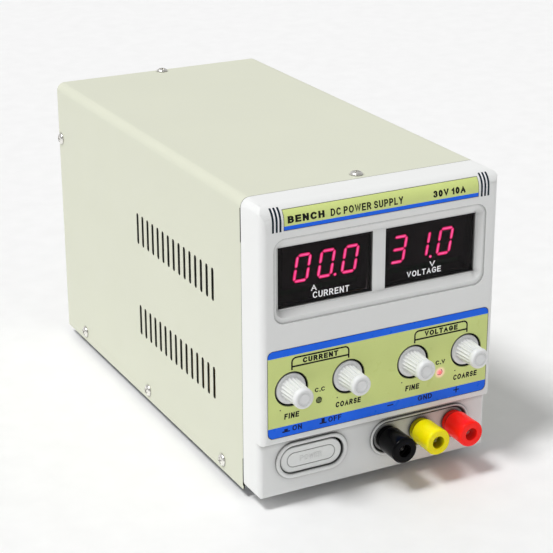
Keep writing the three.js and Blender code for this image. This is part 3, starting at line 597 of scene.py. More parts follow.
def ink(name, colour, **extra):
    return surface(
        name, colour, 0.45, tone=0.05, patch=120, grain=2600, grain_depth=2e-6,
        Specular_IOR_Level=0.2, **extra,
    )


INK_BLACK = ink("black_print", srgb(8, 10, 6))
INK_NAVY = ink("navy_print", srgb(4, 12, 62))
INK_WHITE = ink("white_print", srgb(248, 248, 250))
# The white print on the windows glows faintly: a painted glow that makes it brighter than the light falling
# on it.
LEGEND_PAINTED_GLOW = ink(
    "legend_painted_glow", srgb(250, 250, 252), Emission_Color=(1.0, 1.0, 1.0), Emission_Strength=0.14
)
INK_BAR = ink("bar_print", srgb(8, 32, 46))


def glow(name, colour, strength, edge_colour):
    """A lit plastic lens or segment, brighter where the light behind it is strongest."""
    g = Graph(name)
    uneven = g.noise(700, 2.0)
    g.set(
        Base_Color=g.mix(g.span(uneven, 0.3, 0.7), colour, edge_colour),
        Emission_Color=g.mix(g.span(uneven, 0.35, 0.65), colour, edge_colour),
        Emission_Strength=strength,
        Roughness=g.span(g.noise(900), 0.3, 0.7, 0.25, 0.4),
    )
    return g.material


SEGMENT_LIT = glow("segment_lit", (1.0, 0.018, 0.19), 2.8, (1.0, 0.035, 0.25))
SEGMENT_CORE = glow("segment_core", (1.0, 0.12, 0.44), 3.5, (1.0, 0.26, 0.62))
SEGMENT_DARK = surface("segment_dark", (0.022, 0.012, 0.013), 0.5, tone=0.1, grain=1800)
LAMP_DARK = surface("lamp_dark", srgb(98, 108, 66), 0.3, tone=0.06, grain=1800)
MODULE = surface("display_module", (0.012, 0.011, 0.012), 0.6, tone=0.1, grain=1600, grain_depth=8e-6)


def lit_lens(node):
    """A frosted lamp lens, red over the light and paler towards its rim."""
    g = Graph("lamp_lit")
    away = g.math("ADD", g.distance_from(node), g.span(g.noise(1500, 2.0), 0.3, 0.7, -0.0001, 0.0001))
    core = g.span(away, 0.0004, 0.0015, 1.0, 0.0, smooth=True)
    g.set(
        Base_Color=(0.45, 0.13, 0.13),
        Emission_Color=g.mix(core, LAMP_PALE, LAMP_RED),
        Emission_Strength=g.span(core, 0.0, 1.0, 0.72, 0.62),
        Roughness=g.span(g.noise(900), 0.3, 0.7, 0.2, 0.35),
    )
    return g.material


def smoked_material():
    """Polished smoked acrylic with faint wipe marks."""
    g = Graph("smoked_window")
    marks = g.noise(70, 5.0, (1, 1, 3))
    g.set(
        Base_Color=g.mix(g.span(marks, 0.3, 0.7), (0.26, 0.2, 0.22), (0.3, 0.235, 0.25)),
        Roughness=g.span(marks, 0.35, 0.7, 0.0, 0.03),
        Transmission_Weight=1.0,
        IOR=1.2,
    )
    return g.material


SMOKED = smoked_material()

# ---- Cover: one sheet, cut flat and then folded ----

COVER_HALF, COVER_TOP, SHEET, BEND = 68.0, 158.0, 1.0, 5.0
SIDE_RISE = COVER_TOP - BEND
BEND_ARC = BEND * QUARTER
TOP_RUN = 2 * (COVER_HALF - BEND)
FLAT_WIDTH = 2 * (SIDE_RISE + BEND_ARC) + TOP_RUN
COVER_FRONT = GAP
RELIEFS = [(2.0, 18.0), (135.0, 153.0)]  # where its front edge stands back from the bezel
RELIEF_DEPTH, RELIEF_RAMP = 0.7, 0.4
VENT_ROWS = [(38.0, 56.0), (93.0, 111.0)]
VENT_FIRST, VENT_PITCH, VENT_COUNT, VENT_HALF = 33.4, 6.9, 15, 1.3


def folded(u, v, w):
    """A point of the flat sheet, w below its outer face, on the folded cover."""
    mirror = u > FLAT_WIDTH / 2
    u = FLAT_WIDTH - u if mirror else u
    radius = BEND - w
    if u < SIDE_RISE:
        x, z = -COVER_HALF + w, u
    elif u < SIDE_RISE + BEND_ARC:
        turn = (u - SIDE_RISE) / BEND
        x = -COVER_HALF + BEND - radius * math.cos(turn)
        z = SIDE_RISE + radius * math.sin(turn)
    else:
        x, z = -COVER_HALF + BEND + (u - SIDE_RISE - BEND_ARC), COVER_TOP - w
    return (-x if mirror else x, v, z)


def split_along(mesh, axis, places):
    """New edges across the mesh where the given coordinate has each of these values."""
    made = bmesh.new()
    made.from_mesh(mesh)
    normal = Vector([1 if i == axis else 0 for i in range(3)])
    for place in places:
        geometry = made.verts[:] + made.edges[:] + made.faces[:]
        bmesh.ops.bisect_plane(made, geom=geometry, plane_co=normal * place, plane_no=normal, dist=1e-6)
    made.to_mesh(mesh)
    made.free()
    return mesh


def reshape(mesh, change):
    for vertex in mesh.vertices:
        vertex.co = change(*vertex.co)
    mesh.update()
    return mesh


def cover_outline():
    """The flat sheet's outline, with its front edge let back beside the bezel."""
    front, step, ramp = COVER_FRONT, COVER_FRONT + RELIEF_DEPTH, RELIEF_RAMP
    far_reliefs = [(FLAT_WIDTH - high, FLAT_WIDTH - low) for low, high in reversed(RELIEFS)]
    points = []
    for low, high in RELIEFS + far_reliefs:
        points += [(low, front), (low + ramp, step), (high - ramp, step), (high, front)]
    near, far = 0.6, 1.0  # the sheet's corner radii, at the bezel and at the rear
    rear_corners = arc(FLAT_WIDTH - far, CASE_LENGTH - far, far, 0, QUARTER, 4)
    rear_corners += arc(far, CASE_LENGTH - far, far, QUARTER, math.pi, 4)
    left_corner = arc(near, front + near, near, math.pi, 3 * QUARTER, 3)
    right_corner = arc(FLAT_WIDTH - near, front + near, near, -QUARTER, 0, 3)
    return left_corner + points + right_corner + rear_corners


def cover_holes():
    holes = []
    for mirrored in (False, True):
        side = (lambda u: FLAT_WIDTH - u) if mirrored else (lambda u: u)
        for low, high in VENT_ROWS:
            for column in range(VENT_COUNT):
                at = VENT_FIRST + column * VENT_PITCH
                slot = upright_slot(at, low, high, VENT_HALF)
                flat = [(side(z), y) for y, z in slot]
                holes.append(flat if mirrored else flat[::-1])
    return holes


def make_cover():
    outer_round, inner_round = 0.22, 0.12
    sheet = slab(cover_outline(), cover_holes(), 0.0, SHEET, outer_round, inner_round, axis="z", steps=2)
    painted_shade_depth, rear_edge = 0.12, CASE_LENGTH - 0.5
    # Faces below the outer skin, but not at the rear edge, take the dark painted shade.
    for number, face in enumerate(sheet.faces):
        v, w = (sum(sheet.verts[i][axis] for i in face) / len(face) for axis in (1, 2))
        sheet.slots[number] = int(w > painted_shade_depth and v < rear_edge)
    bends = [SIDE_RISE + BEND_ARC * k / 10 for k in range(11)]
    flat = split_along(mesh_of(sheet), 0, bends + [FLAT_WIDTH - u for u in bends])
    mesh = reshape(flat, folded)
    mesh.flip_normals()
    piece("cover_sheet", mesh, [PAINT, PAINTED_SHADE_INSIDE], node="cover")


make_cover()

# ---- Front bezel ----

BEZEL_BOTTOM, LEDGE, FRONT, LOWER_FRONT = 2.0, 33.4, -21.0, -17.4
CORNER, EDGE, CROWN, WALL = 5.0, 3.5, 8.0, 2.4
# The display recess at its mouth, at its inner well and at the sill: half width, low, high, corner.
RECESS_OUTER, RECESS_INNER = (60.8, 97.6, 141.5, 6.0), (59.2, 100.4, 140.2, 4.5)
RECESS_SILL = (57.4, 103.4, 136.4, 1.2)
SHELF = -20.1
RECESS_FLOOR, MULLION_FRONT = -17.0, -17.25
WINDOW_IN, WINDOW_OUT, WINDOW_LOW, WINDOW_HIGH = 3.7, 56.8, 104.0, 135.8
OVERLAY_HALF, OVERLAY_LOW, OVERLAY_HIGH, OVERLAY_CORNER = 64.4, 37.0, 84.0, 3.0
# The name plate runs from this height up the front and over the crown by this angle.
PLATE_HALF, PLATE_LOW, PLATE_SWEEP = 55.2, 145.9, 0.76
PLATE_TOP = COVER_TOP - CROWN - PLATE_LOW + PLATE_SWEEP * CROWN
KNOB_NAMES = ("current_fine", "current_coarse", "voltage_fine", "voltage_coarse")
KNOB_X = [centre_of(f"{name}_knob").x for name in KNOB_NAMES]
KNOB_Z = centre_of("current_fine_knob").z
LAMP_X, LAMP_Z = centre_of("cv_led").x, centre_of("cv_led").z
KNOB_HOLE, LAMP_HOLE = 9.2, 1.8
BUTTON_AT, BUTTON_HALF, BUTTON_HIGH = (-38.1, 20.38), 17.7, 7.12
# Stadium-shaped openings: centre, half length, half height, width of the raised rim round them.
BUTTON_HOLE = ((-37.9, 20.8), 18.45, 7.9, 2.3)
TERMINAL_HOLE = ((26.6, 20.9), 28.6, 8.7, 1.5)
TERMINAL_AT, TERMINAL_HALF, TERMINAL_HIGH = TERMINAL_HOLE[:3]
RING_PROUD = 1.1


def prism(points, w0, w1, axis):
    """A plain prism between two depths."""
    place = AXES[axis]
    return loft([[place(u, v, w) for u, v in points] for w in (w0, w1)])


def crown_point(s, depth=0.0):
    """Layout y and z at distance s up the front from the plate's lower edge, depth out of it."""
    straight = COVER_TOP - CROWN - PLATE_LOW
    if s < straight:
        return FRONT - depth, PLATE_LOW + s
    turn = (s - straight) / CROWN
    reach = CROWN + depth
    return FRONT + CROWN - reach * math.cos(turn), COVER_TOP - CROWN + reach * math.sin(turn)


def crown_band(half_width, s0, s1, inner, outer, centre=0.0):
    """A band wrapped over the crown between two distances up the front."""
    rings, steps = [], 18
    for k in range(steps + 1):
        s = s0 + (s1 - s0) * k / steps
        (y0, z0), (y1, z1) = crown_point(s, inner), crown_point(s, outer)
        left, right = centre - half_width, centre + half_width
        rings.append([(left, y0, z0), (right, y0, z0), (right, y1, z1), (left, y1, z1)])
    return loft(rings)


def bezel_form():
    face = rounded_rect(-COVER_HALF, COVER_HALF, BEZEL_BOTTOM, COVER_TOP, 3.0, CORNER, steps=10)
    body = mesh_of(prism(face, FRONT, 0.0, "y"))

    def plan(front):
        left = arc(-COVER_HALF + EDGE, front + EDGE, EDGE, math.pi, 3 * QUARTER, 10)
        right = arc(COVER_HALF - EDGE, front + EDGE, EDGE, -QUARTER, 0, 10)
        return [(COVER_HALF, 1.0), (-COVER_HALF, 1.0)] + left + right

    upper = mesh_of(prism(plan(FRONT), LEDGE, COVER_TOP + 1, "z"))
    lower = prism(plan(LOWER_FRONT), BEZEL_BOTTOM - 1, LEDGE + 1, "z")
    outside = boolean(upper, lower, operation="UNION")
    side = [(1.0, BEZEL_BOTTOM), (1.0, COVER_TOP)]
    side += arc(FRONT + CROWN, COVER_TOP - CROWN, CROWN, QUARTER, math.pi, 14)
    side += arc(FRONT + 1.2, LEDGE + 1.2, 1.2, math.pi, 3 * QUARTER, 5)
    side += arc(LOWER_FRONT + 2, BEZEL_BOTTOM + 2, 2.0, math.pi, 3 * QUARTER, 6)
    shaped = boolean(body, outside, operation="INTERSECT")
    return boolean(shaped, prism(side, -COVER_HALF - 1, COVER_HALF + 1, "x"), operation="INTERSECT")


def recess_cutter():
    """The stepped, flared well in front of the windows, its edges turned over in small radii."""
    mouth = [(FRONT - 1.5, 0.6), (FRONT - 0.02, 0.6), (FRONT + 0.06, 0.3), (FRONT + 0.25, 0.1)]
    mouth += [(SHELF - 0.1, 0.0), (SHELF, -0.1)]
    well = [(SHELF + 0.01, 0.4), (SHELF + 0.08, 0.15), (SHELF + 0.3, 0.0)]
    sill = [(RECESS_FLOOR - 0.3, 0.25), (RECESS_FLOOR, 0.0)]
    rings = []
    for size, levels in ((RECESS_OUTER, mouth), (RECESS_INNER, well), (RECESS_SILL, sill)):
        half, low, high, corner = size
        for y, grow in levels:
            left, right = -half - grow, half + grow
            outline = rounded_rect(left, right, low - grow, high + grow, corner + grow, steps=10)
            rings.append([(x, y, z) for x, z in outline])
    return loft(rings)


def raised_ring(at, half_length, half_height, width):
    """A stadium-shaped rim with a rounded top."""
    outer = stadium(*at, half_length + width, half_height + width, 24)
    inner = stadium(*at, half_length - 1, half_height - 1, 24)
    return slab(outer, [inner], LOWER_FRONT - RING_PROUD, LOWER_FRONT + 1.0, 0.85, 0.0, steps=6)


def hole_with_lead(radius, x, z, front, lead=0.35):
    """A round cutter that also breaks the hole's front edge."""
    profile = [(0.0, front - 3), (radius + lead, front - 3), (radius + lead, front)]
    profile += [(radius, front + lead), (radius, front + 8), (0.0, front + 8)]
    return revolve(profile, x, z, steps=48)


def make_bezel():
    well_back, open_back = -13.0, 2.0
    cavity = [
        (open_back, BEZEL_BOTTOM + WALL), (open_back, COVER_TOP - WALL),
        (FRONT + CROWN, COVER_TOP - WALL), (FRONT + WALL, COVER_TOP - CROWN),
        (FRONT + WALL, LEDGE + WALL), (LOWER_FRONT + WALL, LEDGE + WALL),
        (LOWER_FRONT + WALL, BEZEL_BOTTOM + WALL),
    ]
    hollow = mesh_of(prism(cavity[::-1], -COVER_HALF + WALL, COVER_HALF - WALL, "x"))
    half, low, high, _ = RECESS_OUTER
    thick = block(-half - WALL, half + WALL, FRONT + 1, well_back, low - WALL, high + WALL)
    body = boolean(bezel_form(), boolean(hollow, thick))
    rims = [raised_ring(*hole) for hole in (BUTTON_HOLE, TERMINAL_HOLE)]
    body = boolean(body, *rims, operation="UNION")
    body = boolean(body, recess_cutter())
    low, high = WINDOW_LOW - 1.2, WINDOW_HIGH + 1.2
    mullion = block(-WINDOW_IN, WINDOW_IN, MULLION_FRONT, well_back, low, high, 0.4)
    body = boolean(body, mullion, operation="UNION")
    cutters = [
        block(left, right, FRONT - 2, open_back, WINDOW_LOW, WINDOW_HIGH)
        for left, right in ((-WINDOW_OUT, -WINDOW_IN), (WINDOW_IN, WINDOW_OUT))
    ]
    cutters += [hole_with_lead(KNOB_HOLE, x, KNOB_Z, FRONT) for x in KNOB_X]
    cutters += [hole_with_lead(LAMP_HOLE, x, LAMP_Z, FRONT, 0.1) for x in (-LAMP_X, LAMP_X)]
    rim = LOWER_FRONT - RING_PROUD
    flare = [(rim - 1, 0.6), (rim, 0.6), (rim + 0.15, 0.3), (rim + 0.6, 0.0), (open_back, 0.0)]
    for at, length, height, _ in (BUTTON_HOLE, TERMINAL_HOLE):
        cutters.append(loft([
            [(x, y, z) for x, z in stadium(*at, length + grow, height + grow, 24)] for y, grow in flare
        ]))
    half, low, high = OVERLAY_HALF + GAP, OVERLAY_LOW - GAP, OVERLAY_HIGH + GAP
    label = rounded_rect(-half, half, low, high, OVERLAY_CORNER)
    cutters.append(prism(label, FRONT - 2, FRONT + 0.6, "y"))
    cutters.append(crown_band(PLATE_HALF + GAP, -GAP, PLATE_TOP + GAP, -0.5, 2.0))
    piece("front_bezel_moulding", boolean(body, *cutters), MOULDING, node="front_bezel", smooth=28)


make_bezel()


# ---- Lettering ----

GLYPHS = {  # width, then strokes: points on a cap height of one, arcs as (cx, cy, rx, ry, from, to)
    "A": (0.64, [[(0, 0), (0.32, 1), (0.64, 0)], [(0.12, 0.34), (0.52, 0.34)]]),
    "B": (0.54, [[(0, 1), (0.28, 1), (0.28, 0.77, 0.22, 0.23, 90, -90), (0, 0.54)],
                 [(0, 0.54), (0.28, 0.54), (0.28, 0.27, 0.27, 0.27, 90, -90), (0, 0)], [(0, 0), (0, 1)]]),
    "C": (0.62, [[(0.34, 0.5, 0.34, 0.5, 45, 315)]]),
    "D": (0.6, [[(0, 1), (0.24, 1), (0.24, 0.5, 0.36, 0.5, 90, -90), (0, 0)], [(0, 0), (0, 1)]]),
    "E": (0.52, [[(0.52, 1), (0, 1), (0, 0), (0.53, 0)], [(0, 0.52), (0.47, 0.52)]]),
    "F": (0.48, [[(0.48, 1), (0, 1), (0, 0)], [(0, 0.5), (0.4, 0.5)]]),
    "G": (0.68, [[(0.35, 0.5, 0.35, 0.5, 42, 316), (0.68, 0.26), (0.68, 0.46), (0.4, 0.46)]]),
    "H": (0.56, [[(0, 0), (0, 1)], [(0.56, 0), (0.56, 1)], [(0, 0.53), (0.56, 0.53)]]),
    "L": (0.46, [[(0, 1), (0, 0), (0.46, 0)]]),
    "I": (0.0, [[(0, 0), (0, 1)]]),
    "N": (0.56, [[(0, 0), (0, 1)], [(0, 1), (0.56, 0)], [(0.56, 0), (0.56, 1)]]),
    "O": (0.7, [[(0.35, 0.5, 0.35, 0.5, 90, 450)]]),
    "P": (0.54, [[(0, 1), (0.28, 1), (0.28, 0.735, 0.26, 0.265, 90, -90), (0, 0.47)], [(0, 0), (0, 1)]]),
    "R": (0.58, [[(0, 1), (0.28, 1), (0.28, 0.745, 0.26, 0.255, 90, -90), (0, 0.49)], [(0, 0), (0, 1)],
                 [(0.28, 0.49), (0.58, 0)]]),
    "S": (0.52, [[(0.26, 0.755, 0.24, 0.245, 25, 245), (0.26, 0.255, 0.26, 0.255, 65, -160)]]),
    "T": (0.58, [[(0, 1), (0.58, 1)], [(0.29, 1), (0.29, 0)]]),
    "U": (0.56, [[(0, 1), (0.28, 0.3, 0.28, 0.3, 180, 360), (0.56, 1)]]),
    "V": (0.62, [[(0, 1), (0.31, 0), (0.62, 1)]]),
    "W": (0.92, [[(0, 1), (0.23, 0), (0.46, 1), (0.69, 0), (0.92, 1)]]),
    "Y": (0.6, [[(0, 1), (0.3, 0.45), (0.6, 1)], [(0.3, 0.45), (0.3, 0)]]),
    "0": (0.44, [[(0.22, 0.5, 0.22, 0.5, 90, 450)]]),
    "1": (0.22, [[(0, 0.74), (0.22, 1), (0.22, 0)]]),
    "3": (0.44, [[(0.21, 0.76, 0.2, 0.24, 160, -65), (0.2, 0.27, 0.24, 0.27, 70, -160)]]),
    ".": (0.0, [[(0, -0.1), (0, 0.02)]]),
}
LETTER_GAP, WORD_GAP = 0.2, 0.34


def stroke_points(stroke):
    points = []
    for part in stroke:
        if len(part) == 2:
            points.append(Vector(part))
            continue
        cx, cy, rx, ry, start, end = part
        count = max(4, round(abs(end - start) / 15))
        for k in range(count + 1):
            turn = math.radians(start + (end - start) * k / count)
            points.append(Vector((cx + rx * math.cos(turn), cy + ry * math.sin(turn))))
    return [p for n, p in enumerate(points) if n == 0 or (p - points[n - 1]).length > 1e-4]


def ribbon(points, half, closed):
    """The two edges of a stroke with mitred corners and squared ends."""
    edges, last = [], len(points) - 1
    for n, point in enumerate(points):
        before = (point - points[n - 1]).normalized() if n or closed else None
        after = (points[n + 1 if n < last else 0] - point).normalized() if n < last or closed else None
        onward = after or before
        along = (before or after) + onward
        if along.length < 0.2:
            along = before
        along.normalize()
        side = Vector((-along.y, along.x))
        reach = half / max(0.42, side.dot(Vector((-onward.y, onward.x))))
        if before is None:
            point = point - after * half
        elif after is None:
            point = point + before * half
        edges.append((point + side * reach, point - side * reach))
    return edges


def lettering(text, left, right, low, height, w0, w1, weight=0.15, lean=0.0):
    """Plain capitals drawn in strokes of one width, fitted between two x, as a thin print."""
    advance = 0.0
    strokes = []
    for letter in text:
        if letter == " ":
            advance += WORD_GAP
            continue
        width, shapes = GLYPHS[letter]
        strokes += [(advance, stroke) for stroke in shapes]
        advance += width + weight + LETTER_GAP * (0.5 if letter == "." else 1.0)
    total = advance - LETTER_GAP
    made = Solid()
    for number, (start, stroke) in enumerate(strokes):
        points = stroke_points(stroke)
        closed = (points[0] - points[-1]).length < 1e-3
        if closed:
            points.pop()
        front = w0 - 0.003 * (number % 3)  # so that strokes that cross don't share a plane
        rings = []
        for pair in ribbon(points, weight / 2, closed):
            a, b = (
                (left + (start + weight / 2 + p.x + lean * p.y) * (right - left) / total,
                 low + min(1.0, max(0.0, weight / 2 + p.y * (1 - weight))) * height)
                for p in pair
            )
            rings.append([(a[0], front, a[1]), (b[0], front, b[1]), (b[0], w1, b[1]), (a[0], w1, a[1])])
        made.add(loft(rings, closed=closed))
    return made


def centred(text, middle, width, low, height, w0, w1, **settings):
    return lettering(text, middle - width / 2, middle + width / 2, low, height, w0, w1, **settings)


# ---- Printed panel ----

PRINT = (-21.13, -21.02)  # the lettering's front and back
OVERLAY_FRONT = -21.1
LOWER_BLUE, UPPER_BLUE, PLATE_BLUE = 42.6, 80.3, 147.8  # the blue bands' inner edges
# Title, middle, and the left and right ends of the bracket round it.
TITLES = [("CURRENT", -35.1, -51.6, -18.6), ("VOLTAGE", 35.7, 19.4, 52.0)]
TITLE_LOW, TITLE_HIGH, TITLE_CORNER, TITLE_WIDTH = 73.7, 79.2, 2.7, 20.0
KNOB_WORDS = [("FINE", 8.3), ("COARSE", 14.6), ("FINE", 8.3), ("COARSE", 14.6)]
KNOB_WORD_LOW, LAMP_WORD_LOW, NAVY_LOW = 46.2, 57.3, 39.1
KNOB_DOT_LEFT, KNOB_DOT_DOWN, KNOB_DOT = 6.35, 10.4, 0.35  # the dot at each knob's lower end
# The signs on the lower blue band: minus, plus, and the button's out and in marks.
NAVY_SIGNS = [
    (4.2, 7.8, 40.3, 40.9), (44.6, 48.0, 40.35, 40.95), (46.0, 46.6, 38.95, 42.35),
    (-56.6, -52.4, 39.2, 39.9), (-55.5, -53.5, 39.9, 41.0),
    (-35.4, -31.4, 39.2, 39.9), (-34.3, -32.5, 39.9, 42.2),
]


def bracket(left, right, low, high, corner):
    """A title bracket: a bar with rounded upper corners over a rule, with two short legs."""
    line, leg = 0.85, 1.3
    inside = (left + line, right - line, low + line, high - line)
    outer = rounded_rect(left, right, low, high, 0.05, corner)
    outline = slab(outer, [rounded_rect(*inside, 0.05, corner - line)], *PRINT)
    legs = [block(x, x + line, *PRINT, low - leg, low + 0.1) for x in (left, right - line)]
    return outline.add(*legs)


def make_overlay():
    outline = rounded_rect(-OVERLAY_HALF, OVERLAY_HALF, OVERLAY_LOW, OVERLAY_HIGH, OVERLAY_CORNER)
    holes = [circle(x, KNOB_Z, KNOB_HOLE, 48) for x in KNOB_X]
    holes += [circle(x, LAMP_Z, LAMP_HOLE, 24) for x in (-LAMP_X, LAMP_X)]
    bands = [(OVERLAY_LOW - 1, LOWER_BLUE), (UPPER_BLUE, OVERLAY_HIGH + 1)]
    film = film_material("panel_film", bands, lamp="cv_led")
    sheet = slab(outline, holes, OVERLAY_FRONT, OVERLAY_FRONT + 0.4, 0.08, 0.0, steps=2)
    piece("printed_panel", sheet, film, node="control_overlay")


def make_panel_print():
    black = Solid().add(*(bracket(*ends, TITLE_LOW, TITLE_HIGH, TITLE_CORNER) for _, _, *ends in TITLES))
    for title, middle, *_ in TITLES:
        black.add(centred(title, middle, TITLE_WIDTH, TITLE_LOW + 1.15, 3.2, *PRINT, weight=0.33))
    for x, (word, width) in zip(KNOB_X, KNOB_WORDS):
        black.add(centred(word, x, width, KNOB_WORD_LOW, 3.3, *PRINT, weight=0.3, lean=0.08))
        black.add(slab(circle(x - KNOB_DOT_LEFT, KNOB_Z - KNOB_DOT_DOWN, KNOB_DOT, 12), [], *PRINT))
        rim, hole = (circle(x, KNOB_Z, KNOB_HOLE + grow, 48) for grow in (0.2, 0.03))
        black.add(slab(rim, [hole], *PRINT))
    for word, x in (("C.C", -LAMP_X + 0.4), ("C.V", LAMP_X)):
        black.add(centred(word, x, 5.8, LAMP_WORD_LOW, 2.5, *PRINT, weight=0.27))
    piece("panel_black_print", black, INK_BLACK, body="case", weighted=False)

    navy = Solid()
    for word, left, right in (("ON", -50.9, -45.6), ("OFF", -30.4, -22.8), ("GND", 22.7, 31.3)):
        navy.add(lettering(word, left, right, NAVY_LOW, 3.0, *PRINT, weight=0.22))
    for left, right, low, high in NAVY_SIGNS:
        navy.add(block(left, right, *PRINT, low, high))
    piece("panel_navy_print", navy, INK_NAVY, body="case", weighted=False)


def make_well_painted_shade():
    """Black sleeves in the knob holes and a black sheet behind the button: painted shade in the dark gaps.
    """
    wells = Solid()
    front, back = FRONT + 0.05, -18.7
    sleeve = [(8.9, back), (9.15, back), (9.15, front), (9.05, front), (8.95, back - 0.2)]
    for x in KNOB_X:
        wells.add(revolve(sleeve, x, KNOB_Z, steps=56, closed=True))
        wells.add(slab(circle(x, KNOB_Z, 9.1, 48), [circle(x, KNOB_Z, 4.7, 32)], back + 0.1, back + 0.3))
    middle, length, height, _ = BUTTON_HOLE
    stem_hole, button_back = circle(*BUTTON_AT, 3.5, 24), -9.0
    beyond = stadium(*middle, length + 4, height + 4)
    wells.add(slab(beyond, [stem_hole], button_back - 0.3, button_back))
    piece("well_painted_shade", wells, BLACK_PLASTIC, body="case")


def make_name_plate():
    band = crown_band(PLATE_HALF, 0.0, PLATE_TOP, -0.2, 0.1)
    film = film_material("name_film", [(PLATE_LOW - 2, PLATE_BLUE)])
    piece("name_plate_film", band, film, node="name_plate")

    words = Solid()
    for word, left, right, low, height, weight in (
        ("BENCH", -53.4, -33.4, 3.0, 3.9, 0.32),
        ("DC POWER SUPPLY", -30.0, 10.8, 3.0, 3.9, 0.24),
        ("30V 10A", 28.4, 47.4, 3.1, 3.8, 0.31),
    ):
        words.add(lettering(word, left, right, low, height, 0.0, 1.0, weight=weight))
    mesh = split_along(mesh_of(words), 2, [3.4 + 0.4 * k for k in range(11)])

    def wrapped(x, w, s):
        y, z = crown_point(s, 0.07 + 0.06 * (1 - w))
        return (x, y, z)

    piece("name_plate_print", reshape(mesh, wrapped), INK_BLACK, body="case", weighted=False)

    dark, light = Solid(), Solid()
    bar_low, bar_high, sunk = -0.5, 12.2, -0.05
    for side in (-1, 1):
        for x in (61.3, 59.3, 57.3):
            dark.add(crown_band(0.5, bar_low, bar_high, sunk, 0.06, side * x))
        for x in (60.3, 58.3):
            light.add(crown_band(0.36, bar_low, bar_high, sunk, 0.04, side * x))
    piece("bezel_dark_bars", dark, INK_BAR, body="case")
    piece("bezel_light_bars", light, INK_WHITE, body="case")


make_overlay()
make_panel_print()
make_well_painted_shade()
make_name_plate()

# ---- Meters ----

SEGMENT_SHAPES = {  # each segment's two ends on a digit one unit wide and two high
    "a": ((0, 2), (1, 2)), "b": ((1, 2), (1, 1)), "c": ((1, 1), (1, 0)), "d": ((0, 0), (1, 0)),
    "e": ((0, 1), (0, 0)), "f": ((0, 2), (0, 1)), "g": ((0, 1), (1, 1)),
}
DIGIT_SEGMENTS = {"0": "abcdef", "1": "bc", "3": "abcdg"}
DIGIT_WIDTH, DIGIT_HEIGHT, DIGIT_SLANT, SEGMENT_HALF = 8.7, 14.8, 0.17, 0.8
DIGIT_LOW = 114.6
MODULE_FACE, MODULE_HEIGHTS = -12.7, (112, 133.8)
WINDOW_FRONT = -16.0


def segment(left, start, end, w0, w1, share=1.0):
    """A bar with pointed ends, leaning with its digit, at a share of the full stroke width."""
    inner_w, inner_h = DIGIT_WIDTH - 2 * SEGMENT_HALF, (DIGIT_HEIGHT - 2 * SEGMENT_HALF) / 2
    a = Vector((SEGMENT_HALF + start[0] * inner_w, SEGMENT_HALF + start[1] * inner_h))
    b = Vector((SEGMENT_HALF + end[0] * inner_w, SEGMENT_HALF + end[1] * inner_h))
    along = (b - a).normalized()
    half = SEGMENT_HALF * share
    side = Vector((-along.y, along.x)) * half
    end_gap = 0.28 + SEGMENT_HALF - half
    a, b = a + along * end_gap, b - along * end_gap
    step = along * half * 0.9
    corners = [a, a + step - side, b - step - side, b, b - step + side, a + step + side]
    outline = [(left + p.x + p.y * DIGIT_SLANT, DIGIT_LOW + p.y) for p in corners]
    return slab(outline, [], w0, w1)


def make_meter(name, digits, lefts, point_at, unit, unit_box, word, word_box):
    """A display behind its window; point_at is the lit point's x, z and place among the points."""
    low, high = layout_box(f"{name}_window")
    pane = rounded_rect(low.x, high.x, low.z, high.z, 0.5, steps=4)
    piece(f"{name}_pane", slab(pane, [], WINDOW_FRONT, high.y, 0.15, 0.15), SMOKED, node=f"{name}_window")

    low, high = layout_box(f"{name}_display")
    module = block(low.x, high.x, high.y - 1.6, high.y, low.z, high.z, slot=1)
    module.add(block(low.x + 3, high.x - 3, MODULE_FACE, high.y - 1.7, *MODULE_HEIGHTS, 0.4))
    hood, mouth = (
        rounded_rect(low.x + d, high.x - d, low.z + d, high.z - d, 0.3, steps=2) for d in (0.0, 1.0)
    )
    module.add(slab(hood, [mouth], MODULE_FACE - 0.2, high.y - 1.65))
    for k in range(3):
        pin_x = low.x + 8 + k * (high.x - low.x - 16) / 2
        module.add(block(pin_x - 1.5, pin_x + 1.5, high.y, high.y + 2.4, low.z + 3, low.z + 5.4, 0.2))
    dark, lit, cores = Solid(), Solid(), Solid()
    face = (MODULE_FACE - 0.06, MODULE_FACE + 0.1)
    for digit, left in zip(digits, lefts):
        for key, (start, end) in SEGMENT_SHAPES.items():
            is_lit = key in DIGIT_SEGMENTS[digit]
            (lit if is_lit else dark).add(segment(left, start, end, *face))
            if is_lit:
                cores.add(segment(left, start, end, face[0] - 0.02, face[1], 0.34))
    point_x, point_z, lit_point = point_at
    for k, left in enumerate(lefts[1:]):
        is_lit = k == lit_point
        x = point_x if is_lit else left - 2.3
        (lit if is_lit else dark).add(slab(circle(x, point_z, 0.82, 16), [], *face))
        if is_lit:
            cores.add(slab(circle(x, point_z, 0.5, 16), [], face[0] - 0.02, face[1]))
    piece(f"{name}_module", module, [MODULE, CIRCUIT], node=f"{name}_display")
    piece(f"{name}_lit_segments", lit, SEGMENT_LIT, body="case", weighted=False)
    piece(f"{name}_segment_cores", cores, SEGMENT_CORE, body="case", weighted=False)
    piece(f"{name}_dark_segments", dark, SEGMENT_DARK, body="case", weighted=False)
    depth = (WINDOW_FRONT - 0.04, WINDOW_FRONT + 0.05)
    words = lettering(unit, *unit_box, *depth).add(lettering(word, *word_box, *depth, weight=0.19))
    piece(f"{name}_white_print", words, LEGEND_PAINTED_GLOW, body="case", weighted=False)


CIRCUIT = circuit_material()
make_meter(
    "ammeter", "000", (-47.0, -33.5, -20.1), (-23.0, 115.2, 1),
    "A", (-37.9, -34.7, 110.0, 3.2), "CURRENT", (-36.9, -16.3, 105.9, 3.5),
)
make_meter(
    "voltmeter", "310", (8.0, 21.8, 35.5), (32.6, 114.9, 1),
    "V", (30.6, 33.8, 110.4, 3.0), "VOLTAGE", (17.2, 37.5, 106.9, 3.2),
)


